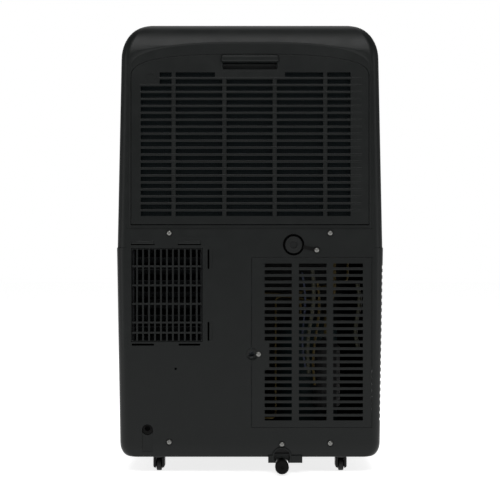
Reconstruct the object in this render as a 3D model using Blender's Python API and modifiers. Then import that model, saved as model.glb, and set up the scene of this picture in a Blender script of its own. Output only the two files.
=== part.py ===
"""A portable air conditioner on casters, seen by its maker as an assembly: casings, filter, grilles,
two centrifugal fans, two coils, the compressor and its pipes, drains, casters and screws.

Metres, +Z up. The origin is on the floor under the middle of the machine. +Y is the rear, where the
hose, the drains and the air intakes are; -Y is the front, where the cool air comes out.
"""

import math

import bmesh
import bpy
from mathutils import Matrix, Vector

# Casters
CASTER_X = 0.1580
CASTER_Y = 0.1440
CASTER_TRAIL = 0.0060
CASTER_WHEEL_R = 0.0120
CASTER_WHEEL_WIDTH = 0.0090
CASTER_AXLE_R = 0.0020
CASTER_CHEEK = 0.0030
CASTER_STEM_R = 0.0040
CASTER_SOCKET_WALL = 0.0030
CASTER_PLATE_R = 0.0135
CASTER_PLATE_Z = 2 * CASTER_WHEEL_R + 0.0035
CASTER_SINK = 0.0025  # the underside is this much above a caster's plate
CASTER_PLATE_GAP = 0.0006
CASTER_WHEEL_BEVEL = 0.00135
CASTER_CHEEK_HALF = 0.0060
CASTER_CHEEK_DROP = 0.0035

# Whole casing
WAIST_WIDTH = 0.4580
WAIST_STEP = 0.0012  # the upper casing is this much narrower each side at the waist seam
FOOT_WIDTH = 0.4460
SHOULDER_WIDTH = 0.4424
HEIGHT = 0.7710
FRONT_Y = -0.1930
REAR_Y = 0.1800
UNDERSIDE_Z = CASTER_PLATE_Z + CASTER_SINK
CASTER_STEM_TOP_Z = UNDERSIDE_Z + 0.0220
WAIST_Z = 0.3880
TOP_EDGE_HEIGHT = 0.0600  # the rounding of the top edge starts this far below the top
TOP_EDGE_SIDE = 0.0460
TOP_EDGE_REAR = 0.0220
TOP_EDGE_FRONT = 0.0500
BOTTOM_EDGE = 0.0100
REAR_CORNER = 0.0160
FRONT_CORNER = 0.0550
FRONT_BOW = 0.0060
WALL = 0.0035
SEAM = 0.0006  # gap between two casing pieces
SEAM_Y = -0.0200  # where the front panel meets the rear covers
TOP_COVER_Z = HEIGHT - 0.0710
FIT = 0.0006  # clearance between pieces that are fixed together
RUN = 0.0010  # clearance round pieces that move
SHOULDER_Z = HEIGHT - TOP_EDGE_HEIGHT

# Recessed rear wall of the upper casing
RECESS_HALF = 0.2070
RECESS_LOW_Z = 0.4200
RECESS_SPRING_Z = HEIGHT - 0.0810
RECESS_CROWN_Z = HEIGHT - 0.0340
RECESS_DEPTH = 0.0030
RECESS_LAP = 0.0030
ARCH_POWER = 2.8
REAR_WALL = 0.0030
REAR_WALL_Y = REAR_Y - RECESS_DEPTH

# Filter frame in the rear wall
FILTER_HALF = 0.2035
FILTER_LOW_Z = 0.4280
FILTER_SPRING_Z = HEIGHT - 0.0910
FILTER_CROWN_Z = HEIGHT - 0.0520
FILTER_DEPTH = 0.0060
FILTER_PIVOT_INSET = 0.0030
FILTER_SILL_GAP = 0.0020
SLAT_PITCH = 0.0119
SLAT_SLOT = 0.0079
SLAT_TOP_Z = HEIGHT - 0.0830
SLAT_FOOT = 0.0090
SLAT_ROWS = int((SLAT_TOP_Z - FILTER_LOW_Z - SLAT_FOOT) / SLAT_PITCH)
GRILLE_LEFT = -0.1721
GRILLE_RIGHT = 0.1870
GRILLE_TOP_RIGHT = 0.1547
MULLIONS = (-0.1287, -0.0422, 0.0439, 0.1308)
MULLION_WIDTH = 0.0074
TOP_ROW_GAP_HALF = 0.0600
PULL_HALF = 0.0470
PULL_LOW_Z = HEIGHT - 0.0780
PULL_HIGH_Z = PULL_LOW_Z + 0.0120
PULL_DEPTH = 0.0150
PULL_WALL = 0.0016
MESH_THICK = 0.0030

# Exhaust outlet and its grille
EXHAUST_LEFT = 0.0810
EXHAUST_RIGHT = 0.2030
EXHAUST_LOW_Z = 0.2270
EXHAUST_HIGH_Z = 0.3870
EXHAUST_COLUMNS = 12
EXHAUST_BAR = 0.0034
EXHAUST_BAR_ZS = (0.2426, 0.2600, 0.2920, 0.3235, 0.3560)
EXHAUST_GRILLE_DEPTH = 0.0060
HOSE_SLOT_XS = ((0.0850, 0.1220), (0.1640, 0.2020))
HOSE_SLOT_Z = 0.0035
HOSE_SLOT_DROP = 0.0070
HOSE_TAB_Z = 0.0060
HOSE_TAB_DEPTH = 0.0018
SIDE_SLOT_XS = (0.0640, 0.0725)
SIDE_SLOT_ZS = ((0.2290, 0.2610), (0.3520, 0.3850))

# Lower intake grille
INTAKE_LEFT = -0.2080
INTAKE_RIGHT = -0.0030
INTAKE_LOW_Z = 0.0810
INTAKE_HIGH_Z = 0.3710
INTAKE_PITCH = 0.01137
INTAKE_SLOT = 0.0066
INTAKE_TOP_Z = 0.3610
INTAKE_FOOT = 0.0040
INTAKE_ROWS = int((INTAKE_TOP_Z - INTAKE_LOW_Z - INTAKE_FOOT) / INTAKE_PITCH)
INTAKE_COLUMNS = ((-0.1928, -0.1420), (-0.1308, -0.0835), (-0.0714, -0.0250))
INTAKE_SHORT_ROWS = (12, 13, 14, 15)
INTAKE_SHORT_END = -0.0329
INTAKE_THICK = 0.0030
INTAKE_PROUD = 0.0010
INTAKE_PIVOT_INSET = 0.0025
FINGER_Z = 0.2060
FINGER_RADIUS = 0.0130
FINGER_DEPTH = 0.0020
SCREW_TAB = 0.0080

# Louvres in the side of the lower casing
LOUVRE_PITCH = 0.01137
LOUVRE_SLOT = 0.0060
LOUVRE_LOW_Z = 0.0900
LOUVRE_HIGH_Z = 0.3650
LOUVRE_COUNT = int((LOUVRE_HIGH_Z - LOUVRE_LOW_Z) / LOUVRE_PITCH)
LOUVRE_YS = (0.0150, 0.1350)

# Side handles
HANDLE_YS = (0.0200, 0.1300)
HANDLE_LOW_Z = HEIGHT - 0.0810
HANDLE_HIGH_Z = HANDLE_LOW_Z + 0.0180
HANDLE_DEPTH = 0.0300
HANDLE_WALL = 0.0025

# Base pan
PAN_RIM_Z = UNDERSIDE_Z + 0.0170
PAN_WALL = 0.0030

# Drains
UPPER_DRAIN_X = -0.0745
UPPER_DRAIN_Z = 0.3930
WELL_R = 0.0184
WELL_DEPTH = 0.0130
NOZZLE_R = 0.0085
NOZZLE_BORE = 0.0055
NOZZLE_FLANGE_R = 0.0115
CAP_R = 0.0150
CAP_WALL = 0.0020
CAP_SOCKET_R = 0.0060
CAP_SOCKET_DEPTH = 0.0025
CAP_END = 0.0042
CAP_CHAMFER = 0.0010
CAP_PLAY = 0.0008
NOZZLE_TIP = 0.0095
GASKET_THICK = 0.0015
TETHER_THICK = 0.0012
TETHER_WIDTH = 0.0060
TETHER_SCREW = (-0.1140, 0.3840)
TETHER_EYE_R = 0.0042
LOWER_DRAIN_X = -0.0545
LOWER_DRAIN_Z = UNDERSIDE_Z - 0.0155
COLLAR_Z = UNDERSIDE_Z + 0.0010
COLLAR_PROUD = 0.0020
SPOUT_ARCH_R = 0.0140
BRACKET_XS = (-0.0895, -0.0310)
BRACKET_LOW_Z = UNDERSIDE_Z - 0.0100
BRACKET_HIGH_Z = UNDERSIDE_Z + 0.0030
SPOUT_R = 0.0105
SPOUT_BORE = 0.0070
SPOUT_NECK_R = 0.00735
SPOUT_INNER_Y = 0.1450
SPOUT_END_Y = 0.1880
SPOUT_COLLAR_R = 0.0165
PLUG_R = 0.0118
PLUG_SKIRT = 0.0100
PLUG_END = 0.0050
PLUG_STEM_R = 0.0064
PLUG_DIMPLE_R = 0.0030
PLUG_DIMPLE = 0.0015

# Drip tray, which also parts the cold half from the hot half
TRAY_Z = 0.3980
TRAY_THICK = 0.0030
TRAY_RIM = 0.0120
TRAY_GAP = 0.0020
TRAY_CORNER_SHARE = 0.8  # the tray's corner steps, as a share of the casing's rounding
SUMP_HALF = 0.0200

# Cold side
EVAPORATOR_LOW = (-0.1860, 0.1080, 0.4250)
EVAPORATOR_HIGH = (0.1860, 0.1500, HEIGHT - 0.0730)
END_PLATE = 0.0020
FAN_WALL = 0.0025
COLD_FAN_CENTRE = (0.0000, 0.0350, 0.5500)
COLD_FAN_R = 0.0880
COLD_FAN_DEPTH = 0.0640
COLD_SCROLL_SMALL = COLD_FAN_R + 0.0120
COLD_SCROLL_LARGE = COLD_SCROLL_SMALL + 0.0260
COLD_SCROLL_TOP_Z = HEIGHT - 0.0660
COLD_NECK_SHARE = 0.75  # how far along the scroll's growth its neck stands
COLD_MOTOR_R = 0.0420
COLD_MOTOR_LENGTH = 0.0560

# Hot side
CONDENSER_LOW = (-0.0140, -0.1350, 0.0600)
CONDENSER_HIGH = (0.0260, 0.1550, 0.3400)
HOT_FAN_CENTRE = (0.1420, -0.0350, 0.2450)
HOT_FAN_R = 0.0860
HOT_FAN_DEPTH = 0.0900
HOT_SCROLL_SMALL = HOT_FAN_R + 0.0140
HOT_SCROLL_LARGE = HOT_SCROLL_SMALL + 0.0340
HOT_SCROLL_HALF = HOT_FAN_DEPTH / 2 + 0.0140
HOT_MOTOR_R = 0.0380
HOT_MOTOR_LENGTH = 0.0300
HOT_MOTOR_STANDOFF = 0.0140
MOTOR_SHOULDER = 0.15  # share of a motor's radius that its rounded ends take
MOTOR_ARM_REACH = 0.95  # share of the fan's radius at which the arms turn in
MOTOR_ARM_R = 0.0030
FAN_BLADES = 16
FAN_BLADE = 0.0140
FAN_BLADE_THICK = 0.0014
FAN_BLADE_INSET = 0.0015
FAN_BLADE_LEAN = math.radians(-55)
FAN_BLADE_SHARE = 0.8  # a blade's chord as a share of the blade ring
SHAFT_SHARE = 0.8  # how much of the hub the shaft fills
FAN_DISC = 0.0025
FAN_BOSS = 0.0240
FAN_BOSS_R = 0.0110
FAN_SIDE_GAP = 0.0060
SHAFT_R = 0.0040
SHAFT_FIT = 0.0004

# Compressor and its pipes
COMPRESSOR_X = -0.1050
COMPRESSOR_Y = 0.0150
COMPRESSOR_R = 0.0560
COMPRESSOR_LOW_Z = UNDERSIDE_Z + 0.0220
COMPRESSOR_HIGH_Z = 0.2600
COMPRESSOR_DOME = 0.0252
COMPRESSOR_BASE_R = 0.0448
COMPRESSOR_PLATE_R = 0.0700
ACCUMULATOR_X = -0.1350
ACCUMULATOR_Y = 0.1050
ACCUMULATOR_R = 0.0240
ACCUMULATOR_LOW_Z = 0.0950
ACCUMULATOR_HIGH_Z = 0.2350
ACCUMULATOR_NECK_R = 0.0072
ACCUMULATOR_SHOULDER = 0.0144
PIPE_R = 0.0048
THIN_PIPE_R = 0.0040
CAPILLARY_R = 0.0020
PIPE_GAP = 0.0004
SUCTION_HOLE = (-0.1500, 0.0780)
CAPILLARY_HOLE = (-0.1750, 0.0780)
FOOT_PLATE = 0.0030
FOOT_R = 0.0090
SUCTION_RISE = 0.0400
SUCTION_STEP = 0.0300
SUCTION_TURN = 0.0700
SUCTION_ENTRY = 0.0500
DISCHARGE_OFFSET = (0.0120, -0.0200)
DISCHARGE_RISE = 0.0500
DISCHARGE_SWING = 0.0300
DISCHARGE_BACK = 0.0850
DISCHARGE_ENTRY = 0.0450
CAPILLARY_EDGE = 0.0200
CAPILLARY_LOW = 0.0300
CAPILLARY_RISE = 0.2400
RETURN_DROP = 0.0180

# Electrical box
ELECTRICS_LOW = (0.0900, -0.1700, 0.4250)
ELECTRICS_HIGH = (0.1950, -0.0700, 0.5500)
LID_INSET = 0.0050

# Front air outlet
OUTLET_HALF = 0.1500
OUTLET_LOW_Z = HEIGHT - 0.1630
OUTLET_HIGH_Z = HEIGHT - 0.0910
TUNNEL_WALL = 0.0025
TUNNEL_BACK_Y = -0.1300
TUNNEL_LAP = 0.0004
PIN_SHARE = 0.8  # how much of the outlet's wall a hinge pin enters
FLAP_THICK = 0.0030
FLAP_GAP = 0.0015
FLAP_SINK = 0.0080
FLAP_PIN_R = 0.0020
VANE_XS = (-0.0960, -0.0320, 0.0320, 0.0960)
VANE_Y = -0.1480
VANE_CHORD = 0.0240
VANE_THICK = 0.0020
VANE_PIN_R = 0.0015
VANE_LIFT = 0.0075
VANE_CRANK = 0.0090
LINK_THICK = 0.0020
LINK_PEG_R = 0.0010
LINK_PLAY = 0.0008
LINK_HALF = 0.0042
LINK_SLOT_FRONT = 0.0026
LINK_SLOT_REAR = 0.0016
LINK_END = 0.0120

# Control panel
PANEL_HALF = 0.0850
PANEL_YS = (-0.1180, -0.0720)
PANEL_THICK = 0.0022
PANEL_SINK = 0.0010
PANEL_LEDGE = 0.0030
BUTTON_NAMES = (
    "power_button",
    "mode_button",
    "fan_button",
    "timer_button",
    "warmer_button",
    "cooler_button",
)
BUTTON_PITCH = 0.0230
BUTTON_LENGTH = 0.0140
BUTTON_WIDTH = 0.0100
BUTTON_Y = -0.1060
BUTTON_TRAVEL = 0.0010
BUTTON_FLANGE = 0.0012
BUTTON_BOARD = 0.0016
BUTTON_GAP = 0.0003
BUTTON_PROUD = 0.0007
BUTTON_STACK = BUTTON_FLANGE + BUTTON_TRAVEL + 6 * BUTTON_GAP  # room under the panel for a pressed button

# Screws, cord gland and small marks
SCREW_HEAD_R = 0.0043
SCREW_HEAD = 0.0022
SCREW_CROWN_R = 0.0030
SCREW_EDGE = 0.0009
SCREW_SHANK_R = 0.0018
SCREW_LENGTH = 0.0080
SCREW_STEPS = 8
SCREW_SEAT = 0.0003
SCREW_HOLE_R = SCREW_SHANK_R + 0.0004
UPPER_SCREWS = ((0.1380, 0.4130), (-0.1370, 0.4130))
LOWER_SCREWS = ((0.1380, 0.0560), (-0.1370, 0.0540))
DRAIN_SCREW_LIFT = 0.0210  # above the collar of the lower drain
INTAKE_SCREW = (-0.0146, 0.2060)
GLAND_X = 0.1752
GLAND_HALF = 0.0092
GLAND_LOW_Z = 0.0710
GLAND_HIGH_Z = 0.0860
GLAND_BORE = 0.0035
GLAND_DEPTH = 0.0140
CHANNEL_DEPTH = 0.0015
CHANNEL_LOW_Z = UNDERSIDE_Z + 0.0090
VENT_HOLE = (0.1270, 0.1810)
VENT_HOLE_R = 0.0020

ROUND = 16  # sides of a small turned piece
FAN_ROUND = 24
PIN_ROUND = 12  # sides of a pin, a hole or an axle
PEG_ROUND = 8
ARCH_STEPS = 20
SCROLL_STEPS = 24
SMOOTH_ANGLE = math.radians(35)
WELD = 0.000002
PAST = 0.0100  # how far a cutter runs past the wall it cuts


# Collections and objects

def fresh_collections():
    """The scene emptied, and one collection for the parts and one for the cutters."""
    for old in list(bpy.data.objects):
        bpy.data.objects.remove(old, do_unlink=True)
    made = []
    for name in ("portable_air_conditioner", "cutters"):
        collection = bpy.data.collections.new(name)
        bpy.context.scene.collection.children.link(collection)
        made.append(collection)
    return made


PARTS, CUTTERS = fresh_collections()


def put(name, mesh, collection=None):
    """An object of this mesh, among the cutters unless a collection is named."""
    thing = bpy.data.objects.new(name, mesh)
    if collection is None:
        collection = CUTTERS
        thing.hide_render = True
        thing.display_type = "WIRE"
    collection.objects.link(thing)
    return thing


def mesh_from(bm, name):
    mesh = bpy.data.meshes.new(name)
    bm.to_mesh(mesh)
    bm.free()
    return mesh


def keep(thing, name, material, pivot=(0.0, 0.0, 0.0)):
    """Makes a finished shape a part: its name, its material, and its origin on its own pivot."""
    thing.name = name
    thing.data.name = name
    thing.hide_render = False
    thing.display_type = "TEXTURED"
    CUTTERS.objects.unlink(thing)
    PARTS.objects.link(thing)
    thing.data.materials.clear()
    thing.data.materials.append(material)
    if any(pivot):
        thing.data.transform(Matrix.Translation(-Vector(pivot)))
        thing.location = pivot
    return thing


def finish(color, roughness, metallic=0.0):
    name = f"finish_{len(bpy.data.materials)}"
    material = bpy.data.materials.new(name)
    material.use_nodes = True
    shader = material.node_tree.nodes["Principled BSDF"]
    shader.inputs["Base Color"].default_value = (*color, 1.0)
    shader.inputs["Roughness"].default_value = roughness
    shader.inputs["Metallic"].default_value = metallic
    return material


CASING = finish((0.022, 0.024, 0.024), 0.55)
DARK = finish((0.012, 0.012, 0.012), 0.60)
INNER = finish((0.050, 0.055, 0.060), 0.60)
RUBBER = finish((0.015, 0.015, 0.015), 0.85)
PANEL_GLOSS = finish((0.010, 0.010, 0.012), 0.15)
BUTTON_GREY = finish((0.120, 0.125, 0.130), 0.45)
MESH_BLUE = finish((0.040, 0.050, 0.065), 0.80)
ZINC = finish((0.620, 0.620, 0.600), 0.35, 1.0)
COIL = finish((0.550, 0.560, 0.580), 0.40, 1.0)
COPPER = finish((0.720, 0.400, 0.240), 0.35, 1.0)
BLACK_PAINT = finish((0.018, 0.018, 0.018), 0.40)


# Shapes

def cuboids(name, corners):
    """One mesh of separate boxes, each given by its lowest and highest corner."""
    bm = bmesh.new()
    for low, high in corners:
        low, high = Vector(low), Vector(high)
        place = Matrix.Translation((low + high) / 2) @ Matrix.Diagonal((*(high - low), 1.0))
        bmesh.ops.create_cube(bm, size=1.0, matrix=place)
    return put(name, mesh_from(bm, name))


def cuboid(name, low, high):
    return cuboids(name, [(low, high)])


def rod(name, start, end, radius, sides=ROUND, end_radius=None):
    """A round bar from one point to another."""
    start, end = Vector(start), Vector(end)
    along = end - start
    turn = Vector((0, 0, 1)).rotation_difference(along).to_matrix().to_4x4()
    bm = bmesh.new()
    bmesh.ops.create_cone(
        bm,
        cap_ends=True,
        segments=sides,
        radius1=radius,
        radius2=radius if end_radius is None else end_radius,
        depth=along.length,
        matrix=Matrix.Translation((start + end) / 2) @ turn,
    )
    return put(name, mesh_from(bm, name))


def turned(name, profile, base, axis, steps=ROUND, closed=False):
    """A profile of (radius, height) points, outer side first and downwards, turned round an axis."""
    bm = bmesh.new()
    points = [bm.verts.new((radius, 0.0, height)) for radius, height in profile]
    ends = points[1:] + points[:1] if closed else points[1:]
    for first, second in zip(points, ends):
        bm.edges.new((first, second))
    thing = put(name, mesh_from(bm, name))
    screw = thing.modifiers.new("turn", "SCREW")
    screw.steps = screw.render_steps = steps
    screw.use_merge_vertices = True
    screw.merge_threshold = 0.00001
    turn = Vector((0, 0, 1)).rotation_difference(Vector(axis)).to_matrix().to_4x4()
    thing.matrix_world = Matrix.Translation(base) @ turn
    return settle(thing)


def settle(thing):
    """The shape with its modifiers and its placing made part of its mesh."""
    bpy.context.view_layer.update()
    shape = thing.evaluated_get(bpy.context.evaluated_depsgraph_get())
    mesh = bpy.data.meshes.new_from_object(shape)
    mesh.transform(thing.matrix_world)
    bm = bmesh.new()
    bm.from_mesh(mesh)
    bmesh.ops.remove_doubles(bm, verts=bm.verts, dist=WELD)
    bm.to_mesh(mesh)
    bm.free()
    name, collections = thing.name, list(thing.users_collection)
    bpy.data.objects.remove(thing, do_unlink=True)
    settled = put(name, mesh)
    for collection in collections:
        if collection is not CUTTERS:
            CUTTERS.objects.unlink(settled)
            collection.objects.link(settled)
    return settled


def plate(name, outline, axis, low, high):
    """A flat outline given thickness. The outline's points are (x, z) for axis Y and (y, z) for axis X."""
    curve = bpy.data.curves.new(name, "CURVE")
    curve.dimensions = "2D"
    curve.fill_mode = "BOTH"
    curve.extrude = (high - low) / 2
    spline = curve.splines.new("POLY")
    spline.points.add(len(outline) - 1)
    for point, (across, up) in zip(spline.points, outline):
        point.co = (across, up, 0.0, 1.0)
    spline.use_cyclic_u = True
    thing = put(name, curve)
    middle = (low + high) / 2
    if axis == "Y":
        columns = Matrix(((1, 0, 0, 0), (0, 0, -1, middle), (0, 1, 0, 0), (0, 0, 0, 1)))
    else:
        columns = Matrix(((0, 0, 1, middle), (1, 0, 0, 0), (0, 1, 0, 0), (0, 0, 0, 1)))
    thing.matrix_world = columns
    return settle(thing)


def tube(name, route, radius):
    """A bent pipe along a list of points, its corners rounded."""
    curve = bpy.data.curves.new(name, "CURVE")
    curve.dimensions = "3D"
    curve.bevel_depth = radius
    curve.bevel_resolution = 2
    curve.use_fill_caps = True
    points = rounded_route([Vector(point) for point in route], radius * 3.0)
    spline = curve.splines.new("POLY")
    spline.points.add(len(points) - 1)
    for point, place in zip(spline.points, points):
        point.co = (*place, 1.0)
    return settle(put(name, curve))


def rounded_route(points, bend, steps=3):
    """The route with each inner corner replaced by a short curve."""
    route = [points[0]]
    for before, corner, after in zip(points, points[1:], points[2:]):
        start = corner + (before - corner).normalized() * bend
        end = corner + (after - corner).normalized() * bend
        for i in range(steps + 1):
            share = i / steps
            route.append(start.lerp(corner, share).lerp(corner.lerp(end, share), share))
    route.append(points[-1])
    return route


def combine(base, others, operation):
    for other in others:
        boolean = base.modifiers.new(operation.lower(), "BOOLEAN")
        boolean.operation = operation
        boolean.object = other
        boolean.solver = "EXACT"
    return settle(base)


def cut(base, *cutters):
    return combine(base, cutters, "DIFFERENCE")


def join(base, *others):
    return combine(base, others, "UNION")


def common(base, *others):
    return combine(base, others, "INTERSECT")


def arch(half, low, spring, crown, grow=0.0):
    """Straight sides up to the spring line, then a flattened arch."""
    half, low, crown = half + grow, low - grow, crown + grow
    outline = [(-half, low), (half, low)]
    for i in range(ARCH_STEPS + 1):
        angle = math.pi * i / ARCH_STEPS
        across, up = math.cos(angle), math.sin(angle)
        outline.append(
            (
                half * math.copysign(abs(across) ** (2 / ARCH_POWER), across),
                spring + (crown - spring) * abs(up) ** (2 / ARCH_POWER),
            )
        )
    return outline


def spiral(centre, small, large, turn=1):
    """The outline of a fan's scroll, whose radius grows over one turn and is largest at the top."""
    outline = []
    for i in range(SCROLL_STEPS):
        share = i / SCROLL_STEPS
        angle = math.pi / 2 + 2 * math.pi * share
        radius = small + (large - small) * max(share, 1 - 6 * share)
        across, up = radius * math.cos(angle), radius * math.sin(angle)
        outline.append((centre[0] + turn * across, centre[1] + up))
    return outline if turn > 0 else outline[::-1]


# Casing

def blend(low, high, share):
    return low + (high - low) * share


def half_width(z):
    """Half the casing's width at a height, without its rounded edges."""
    if z <= WAIST_Z:
        share = (z - UNDERSIDE_Z) / (WAIST_Z - UNDERSIDE_Z)
        return blend(FOOT_WIDTH, WAIST_WIDTH, share) / 2
    share = min(1.0, (z - WAIST_Z) / (SHOULDER_Z - WAIST_Z))
    return blend(WAIST_WIDTH / 2 - WAIST_STEP, SHOULDER_WIDTH / 2, share)


def ring(z, half, front, rear, shrink):
    """One level section of the casing: round corners and a bowed front."""
    points = []
    corners = (
        (half - REAR_CORNER, rear - REAR_CORNER, REAR_CORNER - shrink, 0, 4),
        (-half + REAR_CORNER, rear - REAR_CORNER, REAR_CORNER - shrink, 90, 4),
        (-half + FRONT_CORNER, front + FRONT_CORNER, FRONT_CORNER - shrink, 180, 6),
        (half - FRONT_CORNER, front + FRONT_CORNER, FRONT_CORNER - shrink, 270, 6),
    )
    for x, y, radius, start, steps in corners:
        for i in range(steps + 1):
            angle = math.radians(start + 90 * i / steps)
            points.append((x + radius * math.cos(angle), y + radius * math.sin(angle), z))
        if start == 180:
            straight = half - FRONT_CORNER
            points += [(straight * share, front + shrink, z) for share in (-0.5, 0.0, 0.5)]
    middle = front + FRONT_CORNER
    return [(x, y + FRONT_BOW * (x / half) ** 2 if y < middle else y, z) for x, y, z in points]


def body_form(name, shrink=0.0, open_below=False):
    """The whole casing as one lofted solid, smaller all round by shrink, or run on below its underside."""
    levels = []
    bend = BOTTOM_EDGE - shrink
    for i in range(4):
        angle = math.radians(30 * i)
        edge = bend * (1 - math.sin(angle))
        levels.append((UNDERSIDE_Z + BOTTOM_EDGE - bend * math.cos(angle), edge, edge, edge))
    if open_below:
        levels.insert(0, (UNDERSIDE_Z - PAST, bend, bend, bend))
    for z in (WAIST_Z - SEAM, WAIST_Z + SEAM, SHOULDER_Z):
        levels.append((z, 0.0, 0.0, 0.0))
    for i in range(1, 7):
        angle = math.radians(15 * i)
        turn = 1 - math.cos(angle)
        z = SHOULDER_Z + (TOP_EDGE_HEIGHT - shrink) * math.sin(angle)
        insets = [(edge - shrink) * turn for edge in (TOP_EDGE_SIDE, TOP_EDGE_REAR, TOP_EDGE_FRONT)]
        levels.append((z, *insets))
    bm = bmesh.new()
    rings = []
    for z, side, rear, front in levels:
        section = ring(z, half_width(z) - side, FRONT_Y + front, REAR_Y - rear, shrink)
        rings.append([bm.verts.new(point) for point in section])
    for below, above in zip(rings, rings[1:]):
        for i in range(len(below)):
            j = (i + 1) % len(below)
            bm.faces.new((below[i], below[j], above[j], above[i]))
    bm.faces.new(list(reversed(rings[0])))
    bm.faces.new(rings[-1])
    bmesh.ops.recalc_face_normals(bm, faces=bm.faces)
    return put(name, mesh_from(bm, name))


def casing_shell(name, low, high):
    """The stretch of the casing's wall inside a box."""
    shell = common(body_form(name), cuboid("region", low, high))
    return cut(shell, body_form("inside", WALL, open_below=True))


def hole_y(x, z, radius, low_y=REAR_Y - PAST, high_y=REAR_Y + PAST, sides=PIN_ROUND):
    """A round cutter along Y, through the rear wall unless told otherwise."""
    return rod("hole", (x, low_y, z), (x, high_y, z), radius, sides)


def through_rear(name, corners):
    """Box cutters through the rear wall, given as (low x, low z, high x, high z)."""
    boxes = [((x0, REAR_Y - PAST, z0), (x1, REAR_Y + PAST, z1)) for x0, z0, x1, z1 in corners]
    return cuboids(name, boxes)


SCREWS = {
    "upper_screw_left": UPPER_SCREWS[0],
    "upper_screw_right": UPPER_SCREWS[1],
    "tether_screw": TETHER_SCREW,
    "drain_screw": (LOWER_DRAIN_X, COLLAR_Z + DRAIN_SCREW_LIFT),
    "lower_screw_left": LOWER_SCREWS[0],
    "lower_screw_right": LOWER_SCREWS[1],
}


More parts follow.
